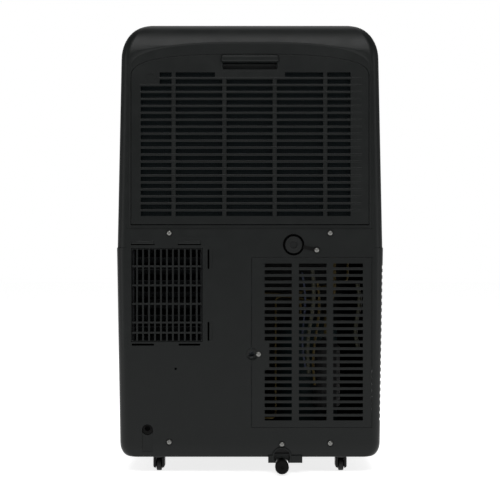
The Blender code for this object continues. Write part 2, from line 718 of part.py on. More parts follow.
def rear_cover():
    cover = casing_shell("rear_cover", (-1, SEAM_Y + SEAM / 2, 0), (1, 1, 1))
    recess = arch(RECESS_HALF, RECESS_LOW_Z, RECESS_SPRING_Z, RECESS_CROWN_Z)
    back = arch(RECESS_HALF, RECESS_LOW_Z, RECESS_SPRING_Z, RECESS_CROWN_Z, RECESS_LAP)
    cover = cut(cover, plate("recess", recess, "Y", REAR_Y - PAST, REAR_Y + PAST))
    well_y = REAR_Y - WELL_DEPTH
    well_back = well_y - CAP_WALL
    additions = [
        plate("rear_wall", back, "Y", REAR_WALL_Y - REAR_WALL, REAR_WALL_Y),
        rod(
            "well_cup",
            (UPPER_DRAIN_X, well_back, UPPER_DRAIN_Z),
            (UPPER_DRAIN_X, REAR_Y - WALL / 2, UPPER_DRAIN_Z),
            WELL_R + CAP_WALL,
        ),
        rod(
            "collar",
            (LOWER_DRAIN_X, REAR_Y - WALL / 2, COLLAR_Z),
            (LOWER_DRAIN_X, REAR_Y + COLLAR_PROUD, COLLAR_Z),
            SPOUT_COLLAR_R,
        ),
        cuboid(
            "bracket",
            (BRACKET_XS[0], REAR_Y - WALL, BRACKET_LOW_Z),
            (BRACKET_XS[1], REAR_Y, BRACKET_HIGH_Z),
        ),
        cuboid(
            "screw_tab",
            (INTAKE_SCREW[0] - SCREW_TAB, REAR_Y - 2 * WALL, INTAKE_SCREW[1] - SCREW_TAB),
            (INTAKE_RIGHT + SCREW_TAB, REAR_Y - WALL + FIT, INTAKE_SCREW[1] + SCREW_TAB),
        ),
    ]
    for side in (-1, 1):
        additions.append(handle_box("handle_cup", side, HANDLE_WALL))
    for x0, x1 in HOSE_SLOT_XS:
        low = EXHAUST_HIGH_Z + HOSE_SLOT_Z + HOSE_SLOT_DROP / 2
        tab_high = (x1, REAR_Y + HOSE_TAB_DEPTH, low + HOSE_TAB_Z)
        additions.append(cuboid("hose_tab", (x0, REAR_Y - WALL / 2, low), tab_high))
    cover = join(cover, *additions)
    cutters = [
        plate(
            "filter_opening",
            arch(FILTER_HALF, FILTER_LOW_Z - FILTER_SILL_GAP + RUN, FILTER_SPRING_Z, FILTER_CROWN_Z, RUN),
            "Y",
            REAR_Y - 2 * PAST,
            REAR_Y + PAST,
        ),
        hole_y(UPPER_DRAIN_X, UPPER_DRAIN_Z, WELL_R, well_y, sides=ROUND),
        hole_y(UPPER_DRAIN_X, UPPER_DRAIN_Z, NOZZLE_R + FIT, well_back - PAST, sides=ROUND),
        hole_y(LOWER_DRAIN_X, COLLAR_Z, SPOUT_ARCH_R, REAR_Y - 3 * PAST, sides=ROUND),
        hole_y(LOWER_DRAIN_X, LOWER_DRAIN_Z, PLUG_R + RUN, REAR_Y - 3 * PAST, sides=ROUND),
        hole_y(INTAKE_SCREW[0], INTAKE_SCREW[1], SCREW_HOLE_R),
        hole_y(*VENT_HOLE, VENT_HOLE_R),
        hole_y(INTAKE_RIGHT, FINGER_Z, FINGER_RADIUS, REAR_Y - FINGER_DEPTH, sides=ROUND),
        cuboid(
            "below_collar",
            (LOWER_DRAIN_X - 2 * SPOUT_COLLAR_R, REAR_Y - PAST, 0.0),
            (LOWER_DRAIN_X + 2 * SPOUT_COLLAR_R, REAR_Y + PAST, BRACKET_LOW_Z),
        ),
        cuboid(
            "cord_channel",
            (GLAND_X - GLAND_HALF, REAR_Y - CHANNEL_DEPTH, CHANNEL_LOW_Z),
            (GLAND_X + GLAND_HALF, REAR_Y + PAST, GLAND_LOW_Z + FIT),
        ),
    ]
    cutters += [hole_y(x, z, SCREW_HOLE_R) for x, z in SCREWS.values()]
    cutters += [handle_box("handle_hollow", side, 0.0) for side in (-1, 1)]
    openings = [
        (EXHAUST_LEFT, EXHAUST_LOW_Z, EXHAUST_RIGHT, EXHAUST_HIGH_Z),
        (GLAND_X - GLAND_HALF, GLAND_LOW_Z, GLAND_X + GLAND_HALF, GLAND_HIGH_Z),
    ]
    for x0, x1 in HOSE_SLOT_XS:
        low = EXHAUST_LOW_Z - HOSE_SLOT_DROP
        openings.append((x0, low, x1, low + HOSE_SLOT_Z))
    for z0, z1 in SIDE_SLOT_ZS:
        openings.append((SIDE_SLOT_XS[0], z0, SIDE_SLOT_XS[1], z1))
    cutters.append(through_rear("openings", openings))
    intake = (INTAKE_LEFT - RUN, INTAKE_LOW_Z - RUN, INTAKE_RIGHT + RUN, INTAKE_HIGH_Z + RUN)
    seat_low = (intake[0], REAR_Y - WALL + FIT, intake[1])
    cutters.append(cuboid("intake_opening", seat_low, (intake[2], REAR_Y + PAST, intake[3])))
    tab_low, tab_high = INTAKE_SCREW[1] - SCREW_TAB, INTAKE_SCREW[1] + SCREW_TAB
    tab_left = INTAKE_SCREW[0] - SCREW_TAB
    cutters += [
        through_rear("intake_low", [(intake[0], intake[1], intake[2], tab_low)]),
        through_rear("intake_high", [(intake[0], tab_high, intake[2], intake[3])]),
        through_rear("intake_middle", [(intake[0], tab_low, tab_left, tab_high)]),
    ]
    slots = []
    for row in range(LOUVRE_COUNT):
        z = LOUVRE_LOW_Z + row * LOUVRE_PITCH
        inner_x = -FOOT_WIDTH / 2 + 2 * WALL
        slots.append(((-WAIST_WIDTH, LOUVRE_YS[0], z), (inner_x, LOUVRE_YS[1], z + LOUVRE_SLOT)))
    cutters.append(cuboids("louvres", slots))
    keep(cut(cover, *cutters), "rear_cover", CASING)


def handle_box(name, side, wall):
    """A side handle's hollow, which starts outside the casing, or with a wall the box round it."""
    outside = half_width(HANDLE_LOW_Z)
    near = outside - WALL / 2 if wall else outside + PAST
    far = outside - HANDLE_DEPTH - wall
    low_x, high_x = sorted((side * near, side * far))
    return cuboid(
        name,
        (low_x, HANDLE_YS[0] - wall, HANDLE_LOW_Z - wall),
        (high_x, HANDLE_YS[1] + wall, HANDLE_HIGH_Z + wall),
    )


def front_panel():
    panel = casing_shell("front_panel", (-1, -1, 0), (1, SEAM_Y - SEAM / 2, TOP_COVER_Z - SEAM / 2))
    tunnel = cuboid(
        "tunnel",
        (-OUTLET_HALF - TUNNEL_WALL, FRONT_Y + WALL - TUNNEL_LAP, OUTLET_LOW_Z - TUNNEL_WALL),
        (OUTLET_HALF + TUNNEL_WALL, TUNNEL_BACK_Y, OUTLET_HIGH_Z + TUNNEL_WALL),
    )
    panel = join(panel, tunnel)
    hollow = cuboid(
        "tunnel_hollow",
        (-OUTLET_HALF, FRONT_Y - PAST, OUTLET_LOW_Z),
        (OUTLET_HALF, TUNNEL_BACK_Y + PAST, OUTLET_HIGH_Z),
    )
    pin_y, pin_z = flap_pivot()
    past = OUTLET_HALF + 2 * TUNNEL_WALL
    flap_holes = rod("flap_holes", (-past, pin_y, pin_z), (past, pin_y, pin_z), FLAP_PIN_R + FIT, PIN_ROUND)
    vane_holes = [
        rod(
            "vane_holes",
            (x, VANE_Y, OUTLET_LOW_Z - 2 * TUNNEL_WALL),
            (x, VANE_Y, OUTLET_HIGH_Z + 2 * TUNNEL_WALL),
            VANE_PIN_R + FIT,
            PEG_ROUND,
        )
        for x in VANE_XS
    ]
    keep(cut(panel, hollow, flap_holes, *vane_holes), "front_panel", CASING)


def top_cover():
    cover = casing_shell("top_cover", (-1, -1, TOP_COVER_Z + SEAM / 2), (1, SEAM_Y - SEAM / 2, 1))
    low_y, high_y = PANEL_YS
    edge = PANEL_LEDGE + FIT
    pad_low_z = HEIGHT - PANEL_SINK - PANEL_THICK - BUTTON_STACK - BUTTON_BOARD
    pad = cuboid(
        "panel_pad",
        (-PANEL_HALF - edge, low_y - edge, pad_low_z),
        (PANEL_HALF + edge, high_y + edge, HEIGHT - WALL / 2),
    )
    seat = cuboid(
        "panel_seat",
        (-PANEL_HALF - FIT, low_y - FIT, HEIGHT - PANEL_SINK - PANEL_THICK - FIT),
        (PANEL_HALF + FIT, high_y + FIT, HEIGHT + PAST),
    )
    hollow = cuboid(
        "panel_hollow",
        (-PANEL_HALF + PANEL_LEDGE, low_y + PANEL_LEDGE, HEIGHT - PAST - WALL),
        (PANEL_HALF - PANEL_LEDGE, high_y - PANEL_LEDGE, HEIGHT + PAST),
    )
    keep(cut(join(cover, pad), seat, hollow), "top_cover", CASING)


def base_pan():
    outside = common(body_form("base_pan", WALL + FIT), cuboid("rim", (-1, -1, 0), (1, 1, PAN_RIM_Z)))
    inside = body_form("pan_inside", WALL + FIT + PAN_WALL)
    pan = cut(outside, inside)
    floor = pan_floor_z()
    sockets = []
    holes = []
    for x, y in caster_places():
        top = CASTER_STEM_TOP_Z
        radius = CASTER_STEM_R + CASTER_SOCKET_WALL
        start, end = (x, y, floor - PAN_WALL / 2), (x, y, top + CASTER_SOCKET_WALL)
        sockets.append(rod("socket", start, end, radius))
        holes.append(rod("socket_hole", (x, y, 0), (x, y, top), CASTER_STEM_R + FIT / 2))
    keep(cut(join(pan, *sockets), *holes), "base_pan", DARK)


def pan_floor_z():
    return UNDERSIDE_Z + WALL + FIT + PAN_WALL


def caster_places():
    return [(x, y) for y in (CASTER_Y, -CASTER_Y) for x in (CASTER_X, -CASTER_X)]


# Grilles and filter

def filter_frame():
    face_y = REAR_WALL_Y
    low_y = face_y - FILTER_DEPTH
    outline = arch(FILTER_HALF, FILTER_LOW_Z, FILTER_SPRING_Z, FILTER_CROWN_Z)
    frame = plate("filter_frame", outline, "Y", low_y, face_y)
    pull_back = face_y - PULL_DEPTH
    cup = cuboid(
        "pull_cup",
        (-PULL_HALF - PULL_WALL, pull_back - PULL_WALL, PULL_LOW_Z - PULL_WALL),
        (PULL_HALF + PULL_WALL, low_y + FIT, PULL_HIGH_Z + PULL_WALL),
    )
    frame = join(frame, cup)
    starts = (GRILLE_LEFT, *[x + MULLION_WIDTH / 2 for x in MULLIONS])
    ends = (*[x - MULLION_WIDTH / 2 for x in MULLIONS], GRILLE_RIGHT)
    columns = list(zip(starts, ends))
    slots = []
    for row in range(SLAT_ROWS):
        top = SLAT_TOP_Z - row * SLAT_PITCH
        for index, (x0, x1) in enumerate(columns):
            if row < 2 and index == len(columns) - 1:
                x1 = GRILLE_TOP_RIGHT
            if row == 0 and index == len(columns) // 2:
                continue
            if row == 0 and x0 < -TOP_ROW_GAP_HALF < x1:
                x1 = -TOP_ROW_GAP_HALF
            elif row == 0 and x0 < TOP_ROW_GAP_HALF < x1:
                x0 = TOP_ROW_GAP_HALF
            slots.append(((x0, low_y - PAST, top - SLAT_SLOT), (x1, face_y + PAST, top)))
    pull_high = (PULL_HALF, face_y + PAST, PULL_HIGH_Z)
    pull = cuboid("pull_hollow", (-PULL_HALF, pull_back, PULL_LOW_Z), pull_high)
    pivot = (0.0, low_y + FILTER_DEPTH / 2, FILTER_LOW_Z + FILTER_PIVOT_INSET)
    keep(cut(frame, cuboids("slots", slots), pull), "filter_frame", CASING, pivot)
    high_y = low_y - SEAM
    edge = SLAT_PITCH - SLAT_SLOT
    mesh = cuboid(
        "filter_mesh",
        (GRILLE_LEFT - edge, high_y - MESH_THICK, SLAT_TOP_Z - SLAT_ROWS * SLAT_PITCH - edge),
        (GRILLE_RIGHT + edge, high_y, PULL_LOW_Z - PULL_WALL - FIT),
    )
    keep(mesh, "filter_mesh", MESH_BLUE, pivot)


def intake_grille():
    face_y = REAR_Y + INTAKE_PROUD
    low_y = face_y - INTAKE_THICK
    high = (INTAKE_RIGHT, face_y, INTAKE_HIGH_Z)
    panel = cuboid("intake_grille", (INTAKE_LEFT, low_y, INTAKE_LOW_Z), high)
    slots = []
    for row in range(INTAKE_ROWS):
        top = INTAKE_TOP_Z - row * INTAKE_PITCH
        for index, (x0, x1) in enumerate(INTAKE_COLUMNS):
            if row in INTAKE_SHORT_ROWS and index == len(INTAKE_COLUMNS) - 1:
                x1 = INTAKE_SHORT_END
            slots.append(((x0, low_y - PAST, top - INTAKE_SLOT), (x1, face_y + PAST, top)))
    screw_hole = hole_y(*INTAKE_SCREW, SCREW_HOLE_R)
    pivot = (INTAKE_LEFT + INTAKE_PIVOT_INSET, face_y - INTAKE_THICK / 2, 0.0)
    keep(cut(panel, cuboids("slots", slots), screw_hole), "intake_grille", CASING, pivot)
    screw("intake_screw", *INTAKE_SCREW, face_y, pivot)


def exhaust_grille():
    face_y = REAR_Y - FIT
    low_y = face_y - EXHAUST_GRILLE_DEPTH
    low = (EXHAUST_LEFT + FIT, low_y, EXHAUST_LOW_Z + FIT)
    high = (EXHAUST_RIGHT - FIT, face_y, EXHAUST_HIGH_Z - FIT)
    pitch = (EXHAUST_RIGHT - EXHAUST_LEFT - EXHAUST_BAR) / EXHAUST_COLUMNS
    lows = [EXHAUST_LOW_Z + EXHAUST_BAR, *[z + EXHAUST_BAR / 2 for z in EXHAUST_BAR_ZS]]
    highs = [*[z - EXHAUST_BAR / 2 for z in EXHAUST_BAR_ZS], EXHAUST_HIGH_Z - EXHAUST_BAR]
    slots = []
    for column in range(EXHAUST_COLUMNS):
        x0 = EXHAUST_LEFT + EXHAUST_BAR + column * pitch
        for z0, z1 in zip(lows, highs):
            slots.append(((x0, low_y - PAST, z0), (x0 + pitch - EXHAUST_BAR, face_y + PAST, z1)))
    keep(cut(cuboid("exhaust_grille", low, high), cuboids("slots", slots)), "exhaust_grille", CASING)


def screw(name, x, z, face_y, pivot=(0.0, 0.0, 0.0)):
    """A pan-head screw whose head sits on a face that looks to the rear."""
    profile = (
        (0.0, SCREW_HEAD),
        (SCREW_CROWN_R, SCREW_HEAD),
        (SCREW_HEAD_R, SCREW_EDGE),
        (SCREW_HEAD_R, 0.0),
        (SCREW_SHANK_R, 0.0),
        (SCREW_SHANK_R, -SCREW_LENGTH),
        (0.0, -SCREW_LENGTH),
    )
    seat = (x, face_y + SCREW_SEAT, z)
    keep(turned(name, profile, seat, (0, 1, 0), SCREW_STEPS), name, ZINC, pivot)


def casing_screws():
    for name, (x, z) in SCREWS.items():
        lift = TETHER_THICK + 2 * SCREW_SEAT if name == "tether_screw" else 0.0
        screw(name, x, z, REAR_Y + lift)
    gland = cuboid(
        "cord_gland",
        (GLAND_X - GLAND_HALF + FIT, REAR_Y - GLAND_DEPTH, GLAND_LOW_Z + 2 * FIT),
        (GLAND_X + GLAND_HALF - FIT, REAR_Y - FIT, GLAND_HIGH_Z - FIT),
    )
    middle = (GLAND_LOW_Z + GLAND_HIGH_Z) / 2
    bore = hole_y(GLAND_X, middle, GLAND_BORE, REAR_Y - 2 * GLAND_DEPTH)
    keep(cut(gland, bore), "cord_gland", RUBBER)


# Front air outlet

def flap_pivot():
    """Y and Z of the flap's hinge, at its lower edge."""
    return FRONT_Y + FLAP_SINK + FLAP_THICK / 2, OUTLET_LOW_Z + FLAP_GAP + FLAP_THICK / 2


def air_flap():
    pin_y, pin_z = flap_pivot()
    half = OUTLET_HALF - FLAP_GAP
    flap = cuboid(
        "air_flap",
        (-half, pin_y - FLAP_THICK / 2, OUTLET_LOW_Z + FLAP_GAP),
        (half, pin_y + FLAP_THICK / 2, OUTLET_HIGH_Z - FLAP_GAP),
    )
    reach = OUTLET_HALF + TUNNEL_WALL * PIN_SHARE
    pin = rod("flap_pin", (-reach, pin_y, pin_z), (reach, pin_y, pin_z), FLAP_PIN_R, PIN_ROUND)
    keep(join(flap, pin), "air_flap", CASING, (0.0, pin_y, pin_z))


def vanes():
    low_z = OUTLET_LOW_Z + VANE_LIFT
    high_z = OUTLET_HIGH_Z - FLAP_GAP
    peg_y = VANE_Y + VANE_CRANK
    for number, x in enumerate(VANE_XS, 1):
        vane = cuboid(
            "vane",
            (x - VANE_THICK / 2, VANE_Y - VANE_CHORD / 2, low_z),
            (x + VANE_THICK / 2, VANE_Y + VANE_CHORD / 2, high_z),
        )
        pin_end = TUNNEL_WALL * PIN_SHARE
        pin_low, pin_high = OUTLET_LOW_Z - pin_end, OUTLET_HIGH_Z + pin_end
        pin = rod("pin", (x, VANE_Y, pin_low), (x, VANE_Y, pin_high), VANE_PIN_R, PEG_ROUND)
        peg_low, peg_high = OUTLET_LOW_Z + FIT, low_z + VANE_THICK
        peg = rod("peg", (x, peg_y, peg_low), (x, peg_y, peg_high), LINK_PEG_R, PEG_ROUND)
        keep(join(vane, pin, peg), f"vane_{number}", DARK, (x, VANE_Y, low_z))


def vane_link():
    peg_y = VANE_Y + VANE_CRANK
    low_z = OUTLET_LOW_Z + FIT
    high_z = low_z + LINK_THICK
    reach = VANE_XS[-1] + LINK_END
    link = cuboid("vane_link", (-reach, peg_y - LINK_HALF, low_z), (reach, peg_y + LINK_HALF, high_z))
    holes = []
    for x in VANE_XS:
        holes.append(
            (
                (x - LINK_PEG_R - LINK_PLAY, peg_y - LINK_SLOT_FRONT, low_z - PAST),
                (x + LINK_PEG_R + LINK_PLAY, peg_y + LINK_SLOT_REAR, high_z + PAST),
            )
        )
    keep(cut(link, cuboids("slots", holes)), "vane_link", DARK)


# Control panel

def button_places():
    middle = (len(BUTTON_NAMES) - 1) / 2
    return [(name, (middle - index) * BUTTON_PITCH) for index, name in enumerate(BUTTON_NAMES)]


def control_panel():
    top_z = HEIGHT - PANEL_SINK
    low_z = top_z - PANEL_THICK
    panel = cuboid("control_panel", (-PANEL_HALF, PANEL_YS[0], low_z), (PANEL_HALF, PANEL_YS[1], top_z))
    holes = []
    for name, x in button_places():
        half = Vector((BUTTON_LENGTH, BUTTON_WIDTH, 0)) / 2
        holes.append(
            (
                (x - half.x - BUTTON_GAP, BUTTON_Y - half.y - BUTTON_GAP, low_z - PAST),
                (x + half.x + BUTTON_GAP, BUTTON_Y + half.y + BUTTON_GAP, top_z + PAST),
            )
        )
        cap = cuboid(
            name,
            (x - half.x, BUTTON_Y - half.y, low_z - BUTTON_GAP - BUTTON_FLANGE),
            (x + half.x, BUTTON_Y + half.y, top_z + BUTTON_PROUD),
        )
        edge = BUTTON_GAP * 3
        flange = cuboid(
            "flange",
            (x - half.x - edge, BUTTON_Y - half.y - edge, low_z - BUTTON_GAP - BUTTON_FLANGE),
            (x + half.x + edge, BUTTON_Y + half.y + edge, low_z - BUTTON_GAP),
        )
        keep(join(cap, flange), name, BUTTON_GREY, (x, BUTTON_Y, top_z))
    keep(cut(panel, cuboids("button_holes", holes)), "control_panel", PANEL_GLOSS)
    board_top = low_z - BUTTON_STACK
    inset = PANEL_LEDGE + FIT
    board = cuboid(
        "control_board",
        (-PANEL_HALF + inset, PANEL_YS[0] + inset, board_top - BUTTON_BOARD),
        (PANEL_HALF - inset, PANEL_YS[1] - inset, board_top),
    )
    keep(board, "control_board", INNER)


# Fans

def fan_wheel(name, centre, radius, depth, axis):
    """A forward-bladed wheel. Its disc is at the low end of the axis and its open eye at the high end."""
    axis = Vector(axis)
    base = Vector(centre) - axis * depth / 2
    bore = SHAFT_R + SHAFT_FIT
    disc = [
        (radius, FAN_DISC),
        (radius, 0.0),
        (bore, 0.0),
        (bore, FAN_BOSS),
        (FAN_BOSS_R, FAN_BOSS),
        (FAN_BOSS_R, FAN_DISC),
    ]
    rim = [
        (radius, depth),
        (radius, depth - FAN_DISC),
        (radius - FAN_BLADE, depth - FAN_DISC),
        (radius - FAN_BLADE, depth),
    ]
    wheel = turned(name, disc, base, axis, FAN_ROUND, closed=True)
    ring_piece = turned("rim", rim, base, axis, FAN_ROUND, closed=True)
    turn = Vector((0, 0, 1)).rotation_difference(axis).to_matrix().to_4x4()
    bm = bmesh.new()
    for index in range(FAN_BLADES):
        spin = Matrix.Rotation(2 * math.pi * (index + 0.5) / FAN_BLADES, 4, "Z")
        lean = Matrix.Rotation(FAN_BLADE_LEAN, 4, "Z")
        middle = Matrix.Translation((radius - FAN_BLADE / 2 - FAN_BLADE_INSET, 0, depth / 2))
        size = Matrix.Diagonal((FAN_BLADE * FAN_BLADE_SHARE, FAN_BLADE_THICK, depth - FAN_DISC, 1.0))
        place = Matrix.Translation(base) @ turn @ spin @ middle @ lean @ size
        bmesh.ops.create_cube(bm, size=1.0, matrix=place)
    blades = put("blades", mesh_from(bm, "blades"))
    keep(join(wheel, ring_piece, blades), name, DARK, centre)


def fan_motor(name, face, axis, radius, length, shaft):
    """A round motor standing back from a face, with its shaft running out along the axis."""
    shoulder = radius * MOTOR_SHOULDER
    profile = (
        (0.0, shaft),
        (SHAFT_R, shaft),
        (SHAFT_R, 0.0),
        (radius - shoulder, 0.0),
        (radius, -shoulder),
        (radius, shoulder - length),
        (radius - shoulder, -length),
        (0.0, -length),
    )
    return turned(name, profile, face, axis)


def cold_fan():
    x, y, z = COLD_FAN_CENTRE
    half = COLD_FAN_DEPTH / 2 + FAN_SIDE_GAP
    outline = spiral((x, z), COLD_SCROLL_SMALL, COLD_SCROLL_LARGE)
    outer = plate("cold_fan_scroll", outline, "Y", y - half, y + half)
    reach = blend(COLD_SCROLL_SMALL, COLD_SCROLL_LARGE, COLD_NECK_SHARE)
    neck = cuboid("neck", (x + reach / 4, y - half, z), (x + reach, y + half, COLD_SCROLL_TOP_Z))
    wall = FAN_WALL
    hollow = plate(
        "hollow",
        spiral((x, z), COLD_SCROLL_SMALL - wall, COLD_SCROLL_LARGE - wall),
        "Y",
        y - half + wall,
        y + half - wall,
    )
    throat = cuboid(
        "throat",
        (x + reach / 4 + wall, y - half + wall, z),
        (x + reach - wall, y + half - wall, COLD_SCROLL_TOP_Z + PAST),
    )
    eye = rod("eye", (x, y, z), (x, y + half + PAST, z), COLD_FAN_R - FAN_BLADE)
    shaft_hole = rod("shaft_hole", (x, y - half - PAST, z), (x, y, z), 3 * SHAFT_R)
    keep(cut(join(outer, neck), hollow, throat, eye, shaft_hole), "cold_fan_scroll", INNER)
    fan_wheel("cold_fan_wheel", COLD_FAN_CENTRE, COLD_FAN_R, COLD_FAN_DEPTH, (0, 1, 0))
    face = (x, y - half - FIT, z)
    shaft = half + FIT - COLD_FAN_DEPTH / 2 + FAN_BOSS * SHAFT_SHARE
    motor = fan_motor("cold_fan_motor", face, (0, 1, 0), COLD_MOTOR_R, COLD_MOTOR_LENGTH, shaft)
    keep(motor, "cold_fan_motor", BLACK_PAINT)


def hot_fan():
    x, y, z = HOT_FAN_CENTRE
    low_x, high_x = x - HOT_SCROLL_HALF, x + HOT_SCROLL_HALF
    outline = spiral((y, z), HOT_SCROLL_SMALL, HOT_SCROLL_LARGE, turn=-1)
    outer = plate("hot_fan_scroll", outline, "X", low_x, high_x)
    end_y = REAR_Y - EXHAUST_GRILLE_DEPTH - 5 * FIT
    wall = FAN_WALL
    neck = cuboid("neck", (low_x, y, EXHAUST_LOW_Z), (high_x, end_y, EXHAUST_HIGH_Z))
    hollow = plate(
        "hollow",
        spiral((y, z), HOT_SCROLL_SMALL - wall, HOT_SCROLL_LARGE - wall, turn=-1),
        "X",
        x - HOT_SCROLL_HALF + wall,
        x + HOT_SCROLL_HALF - wall,
    )
    throat = cuboid(
        "throat",
        (x - HOT_SCROLL_HALF + wall, y, EXHAUST_LOW_Z + wall),
        (x + HOT_SCROLL_HALF - wall, end_y + PAST, EXHAUST_HIGH_Z - wall),
    )
    eye = rod("eye", (x - HOT_SCROLL_HALF - PAST, y, z), (x, y, z), HOT_FAN_R - FAN_BLADE)
    keep(cut(join(outer, neck), hollow, throat, eye), "hot_fan_scroll", INNER)
    fan_wheel("hot_fan_wheel", HOT_FAN_CENTRE, HOT_FAN_R, HOT_FAN_DEPTH, (-1, 0, 0))
    back_x = x - HOT_SCROLL_HALF - HOT_MOTOR_STANDOFF
    shaft = HOT_MOTOR_STANDOFF + HOT_SCROLL_HALF + HOT_FAN_DEPTH / 2 - FAN_BOSS * (1 - SHAFT_SHARE) - FAN_DISC
    motor = fan_motor("hot_fan_motor", (back_x, y, z), (1, 0, 0), HOT_MOTOR_R, HOT_MOTOR_LENGTH, shaft)
    feet = []
    for angle in (90, 210, 330):
        along = Vector((0, math.cos(math.radians(angle)), math.sin(math.radians(angle))))
        start = Vector((back_x - HOT_MOTOR_LENGTH / 2, y, z)) + along * HOT_MOTOR_R / 2
        elbow = start + along * (HOT_FAN_R * MOTOR_ARM_REACH - HOT_MOTOR_R / 2)
        end = Vector((x - HOT_SCROLL_HALF - SCREW_SEAT, elbow.y, elbow.z))
        feet.append(rod("arm", start, elbow + along * MOTOR_ARM_R, MOTOR_ARM_R, PEG_ROUND))
        foot_start = Vector((start.x - MOTOR_ARM_R, elbow.y, elbow.z))
        feet.append(rod("foot", foot_start, end, MOTOR_ARM_R, PEG_ROUND))
    keep(join(motor, *feet), "hot_fan_motor", BLACK_PAINT)


# Coils, tray, compressor and pipes

def coil(name, low, high, along):
    """A finned block between two end plates that stand out past it, with its tubes along X (0) or Y (1)."""
    low, high = Vector(low), Vector(high)
    core_low, core_high = low.copy(), high.copy()
    core_low.z += END_PLATE
    core_high.z -= END_PLATE
    across = 1 - along
    core_low[across] += END_PLATE
    core_high[across] -= END_PLATE
    ends = []
    for near in (True, False):
        end_low, end_high = low.copy(), high.copy()
        if near:
            end_high[along] = low[along] + END_PLATE
        else:
            end_low[along] = high[along] - END_PLATE
        ends.append(cuboid("end_plate", end_low, end_high))
    keep(join(cuboid(name, core_low, core_high), *ends), name, COIL)


def drip_tray():
    z = TRAY_Z
    half = half_width(z) - WALL - TRAY_GAP
    low_y = FRONT_Y + FRONT_BOW + WALL + TRAY_GAP
    high_y = REAR_Y - WELL_DEPTH - 3 * TRAY_GAP
    corner = FRONT_CORNER * TRAY_CORNER_SHARE
    tray = cuboid("drip_tray", (-half, low_y + corner, z), (half, high_y, z + TRAY_THICK))
    front_high = (half - corner, low_y + 2 * corner, z + TRAY_THICK)
    front = cuboid("front_part", (-half + corner, low_y, z), front_high)
    rim_low, rim_high = EVAPORATOR_LOW[1] - TRAY_RIM, high_y
    rim_half = EVAPORATOR_HIGH[0] + TRAY_RIM
    rim = cuboid("rim", (-rim_half, rim_low, z), (rim_half, rim_high, z + TRAY_THICK + TRAY_RIM))
    hollow = cuboid(
        "trough",
        (-rim_half + TRAY_THICK, rim_low + TRAY_THICK, z + TRAY_THICK),
        (rim_half - TRAY_THICK, rim_high - TRAY_THICK, z + TRAY_THICK + 2 * TRAY_RIM),
    )
    sump_low = UPPER_DRAIN_Z - NOZZLE_FLANGE_R
    x0, x1 = UPPER_DRAIN_X - SUMP_HALF, UPPER_DRAIN_X + SUMP_HALF
    sump = cuboid("sump", (x0, rim_low + TRAY_RIM, sump_low), (x1, rim_high, z + TRAY_THICK))
    sump_hollow = cuboid(
        "sump_hollow",
        (x0 + TRAY_THICK, rim_low + TRAY_RIM + TRAY_THICK, sump_low + TRAY_THICK),
        (x1 - TRAY_THICK, rim_high - TRAY_THICK, z + 2 * TRAY_RIM),
    )
    outlet = hole_y(UPPER_DRAIN_X, UPPER_DRAIN_Z, NOZZLE_BORE, rim_high - 2 * TRAY_THICK)
    pipe_holes = []
    for x, y in (SUCTION_HOLE, CAPILLARY_HOLE):
        start, end = (x, y, z - PAST), (x, y, z + PAST)
        pipe_holes.append(rod("pipe_hole", start, end, PIPE_R + 2 * RUN, PIN_ROUND))
    keep(cut(join(tray, front, rim, sump), hollow, sump_hollow, outlet, *pipe_holes), "drip_tray", INNER)


def compressor():
    x, y = COMPRESSOR_X, COMPRESSOR_Y
    radius = COMPRESSOR_R
    dome = COMPRESSOR_DOME
    profile = [(0.0, COMPRESSOR_HIGH_Z)]
    for step in range(1, 6):
        angle = math.pi / 2 * step / 5
        profile.append((radius * math.sin(angle), COMPRESSOR_HIGH_Z - dome * (1 - math.cos(angle))))
    base_z = COMPRESSOR_LOW_Z
    profile += [(radius, base_z + dome / 2), (COMPRESSOR_BASE_R, base_z), (0.0, base_z)]
    shell = turned("compressor", profile, (x, y, 0), (0, 0, 1))
    plate_top = (x, y, base_z + FOOT_PLATE)
    foot_plate = rod("foot_plate", (x, y, base_z), plate_top, COMPRESSOR_PLATE_R, sides=6)
    feet = []
    for angle in (30, 150, 270):
        fx = x + radius * math.cos(math.radians(angle))
        fy = y + radius * math.sin(math.radians(angle))
        start, end = (fx, fy, pan_floor_z() + SCREW_SEAT), (fx, fy, base_z + FOOT_PLATE / 2)
        feet.append(rod("foot", start, end, FOOT_R, PIN_ROUND))
    keep(join(shell, foot_plate, *feet), "compressor", BLACK_PAINT)
    ax, ay = ACCUMULATOR_X, ACCUMULATOR_Y
    neck = ACCUMULATOR_NECK_R
    shoulder = ACCUMULATOR_SHOULDER
    tank = [
        (0.0, ACCUMULATOR_HIGH_Z),
        (neck, ACCUMULATOR_HIGH_Z),
        (neck, ACCUMULATOR_HIGH_Z - shoulder / 2),
        (ACCUMULATOR_R, ACCUMULATOR_HIGH_Z - shoulder - shoulder / 2),
        (ACCUMULATOR_R, ACCUMULATOR_LOW_Z + shoulder),
        (neck, ACCUMULATOR_LOW_Z),
        (0.0, ACCUMULATOR_LOW_Z),
    ]
    keep(turned("accumulator", tank, (ax, ay, 0), (0, 0, 1)), "accumulator", BLACK_PAINT)


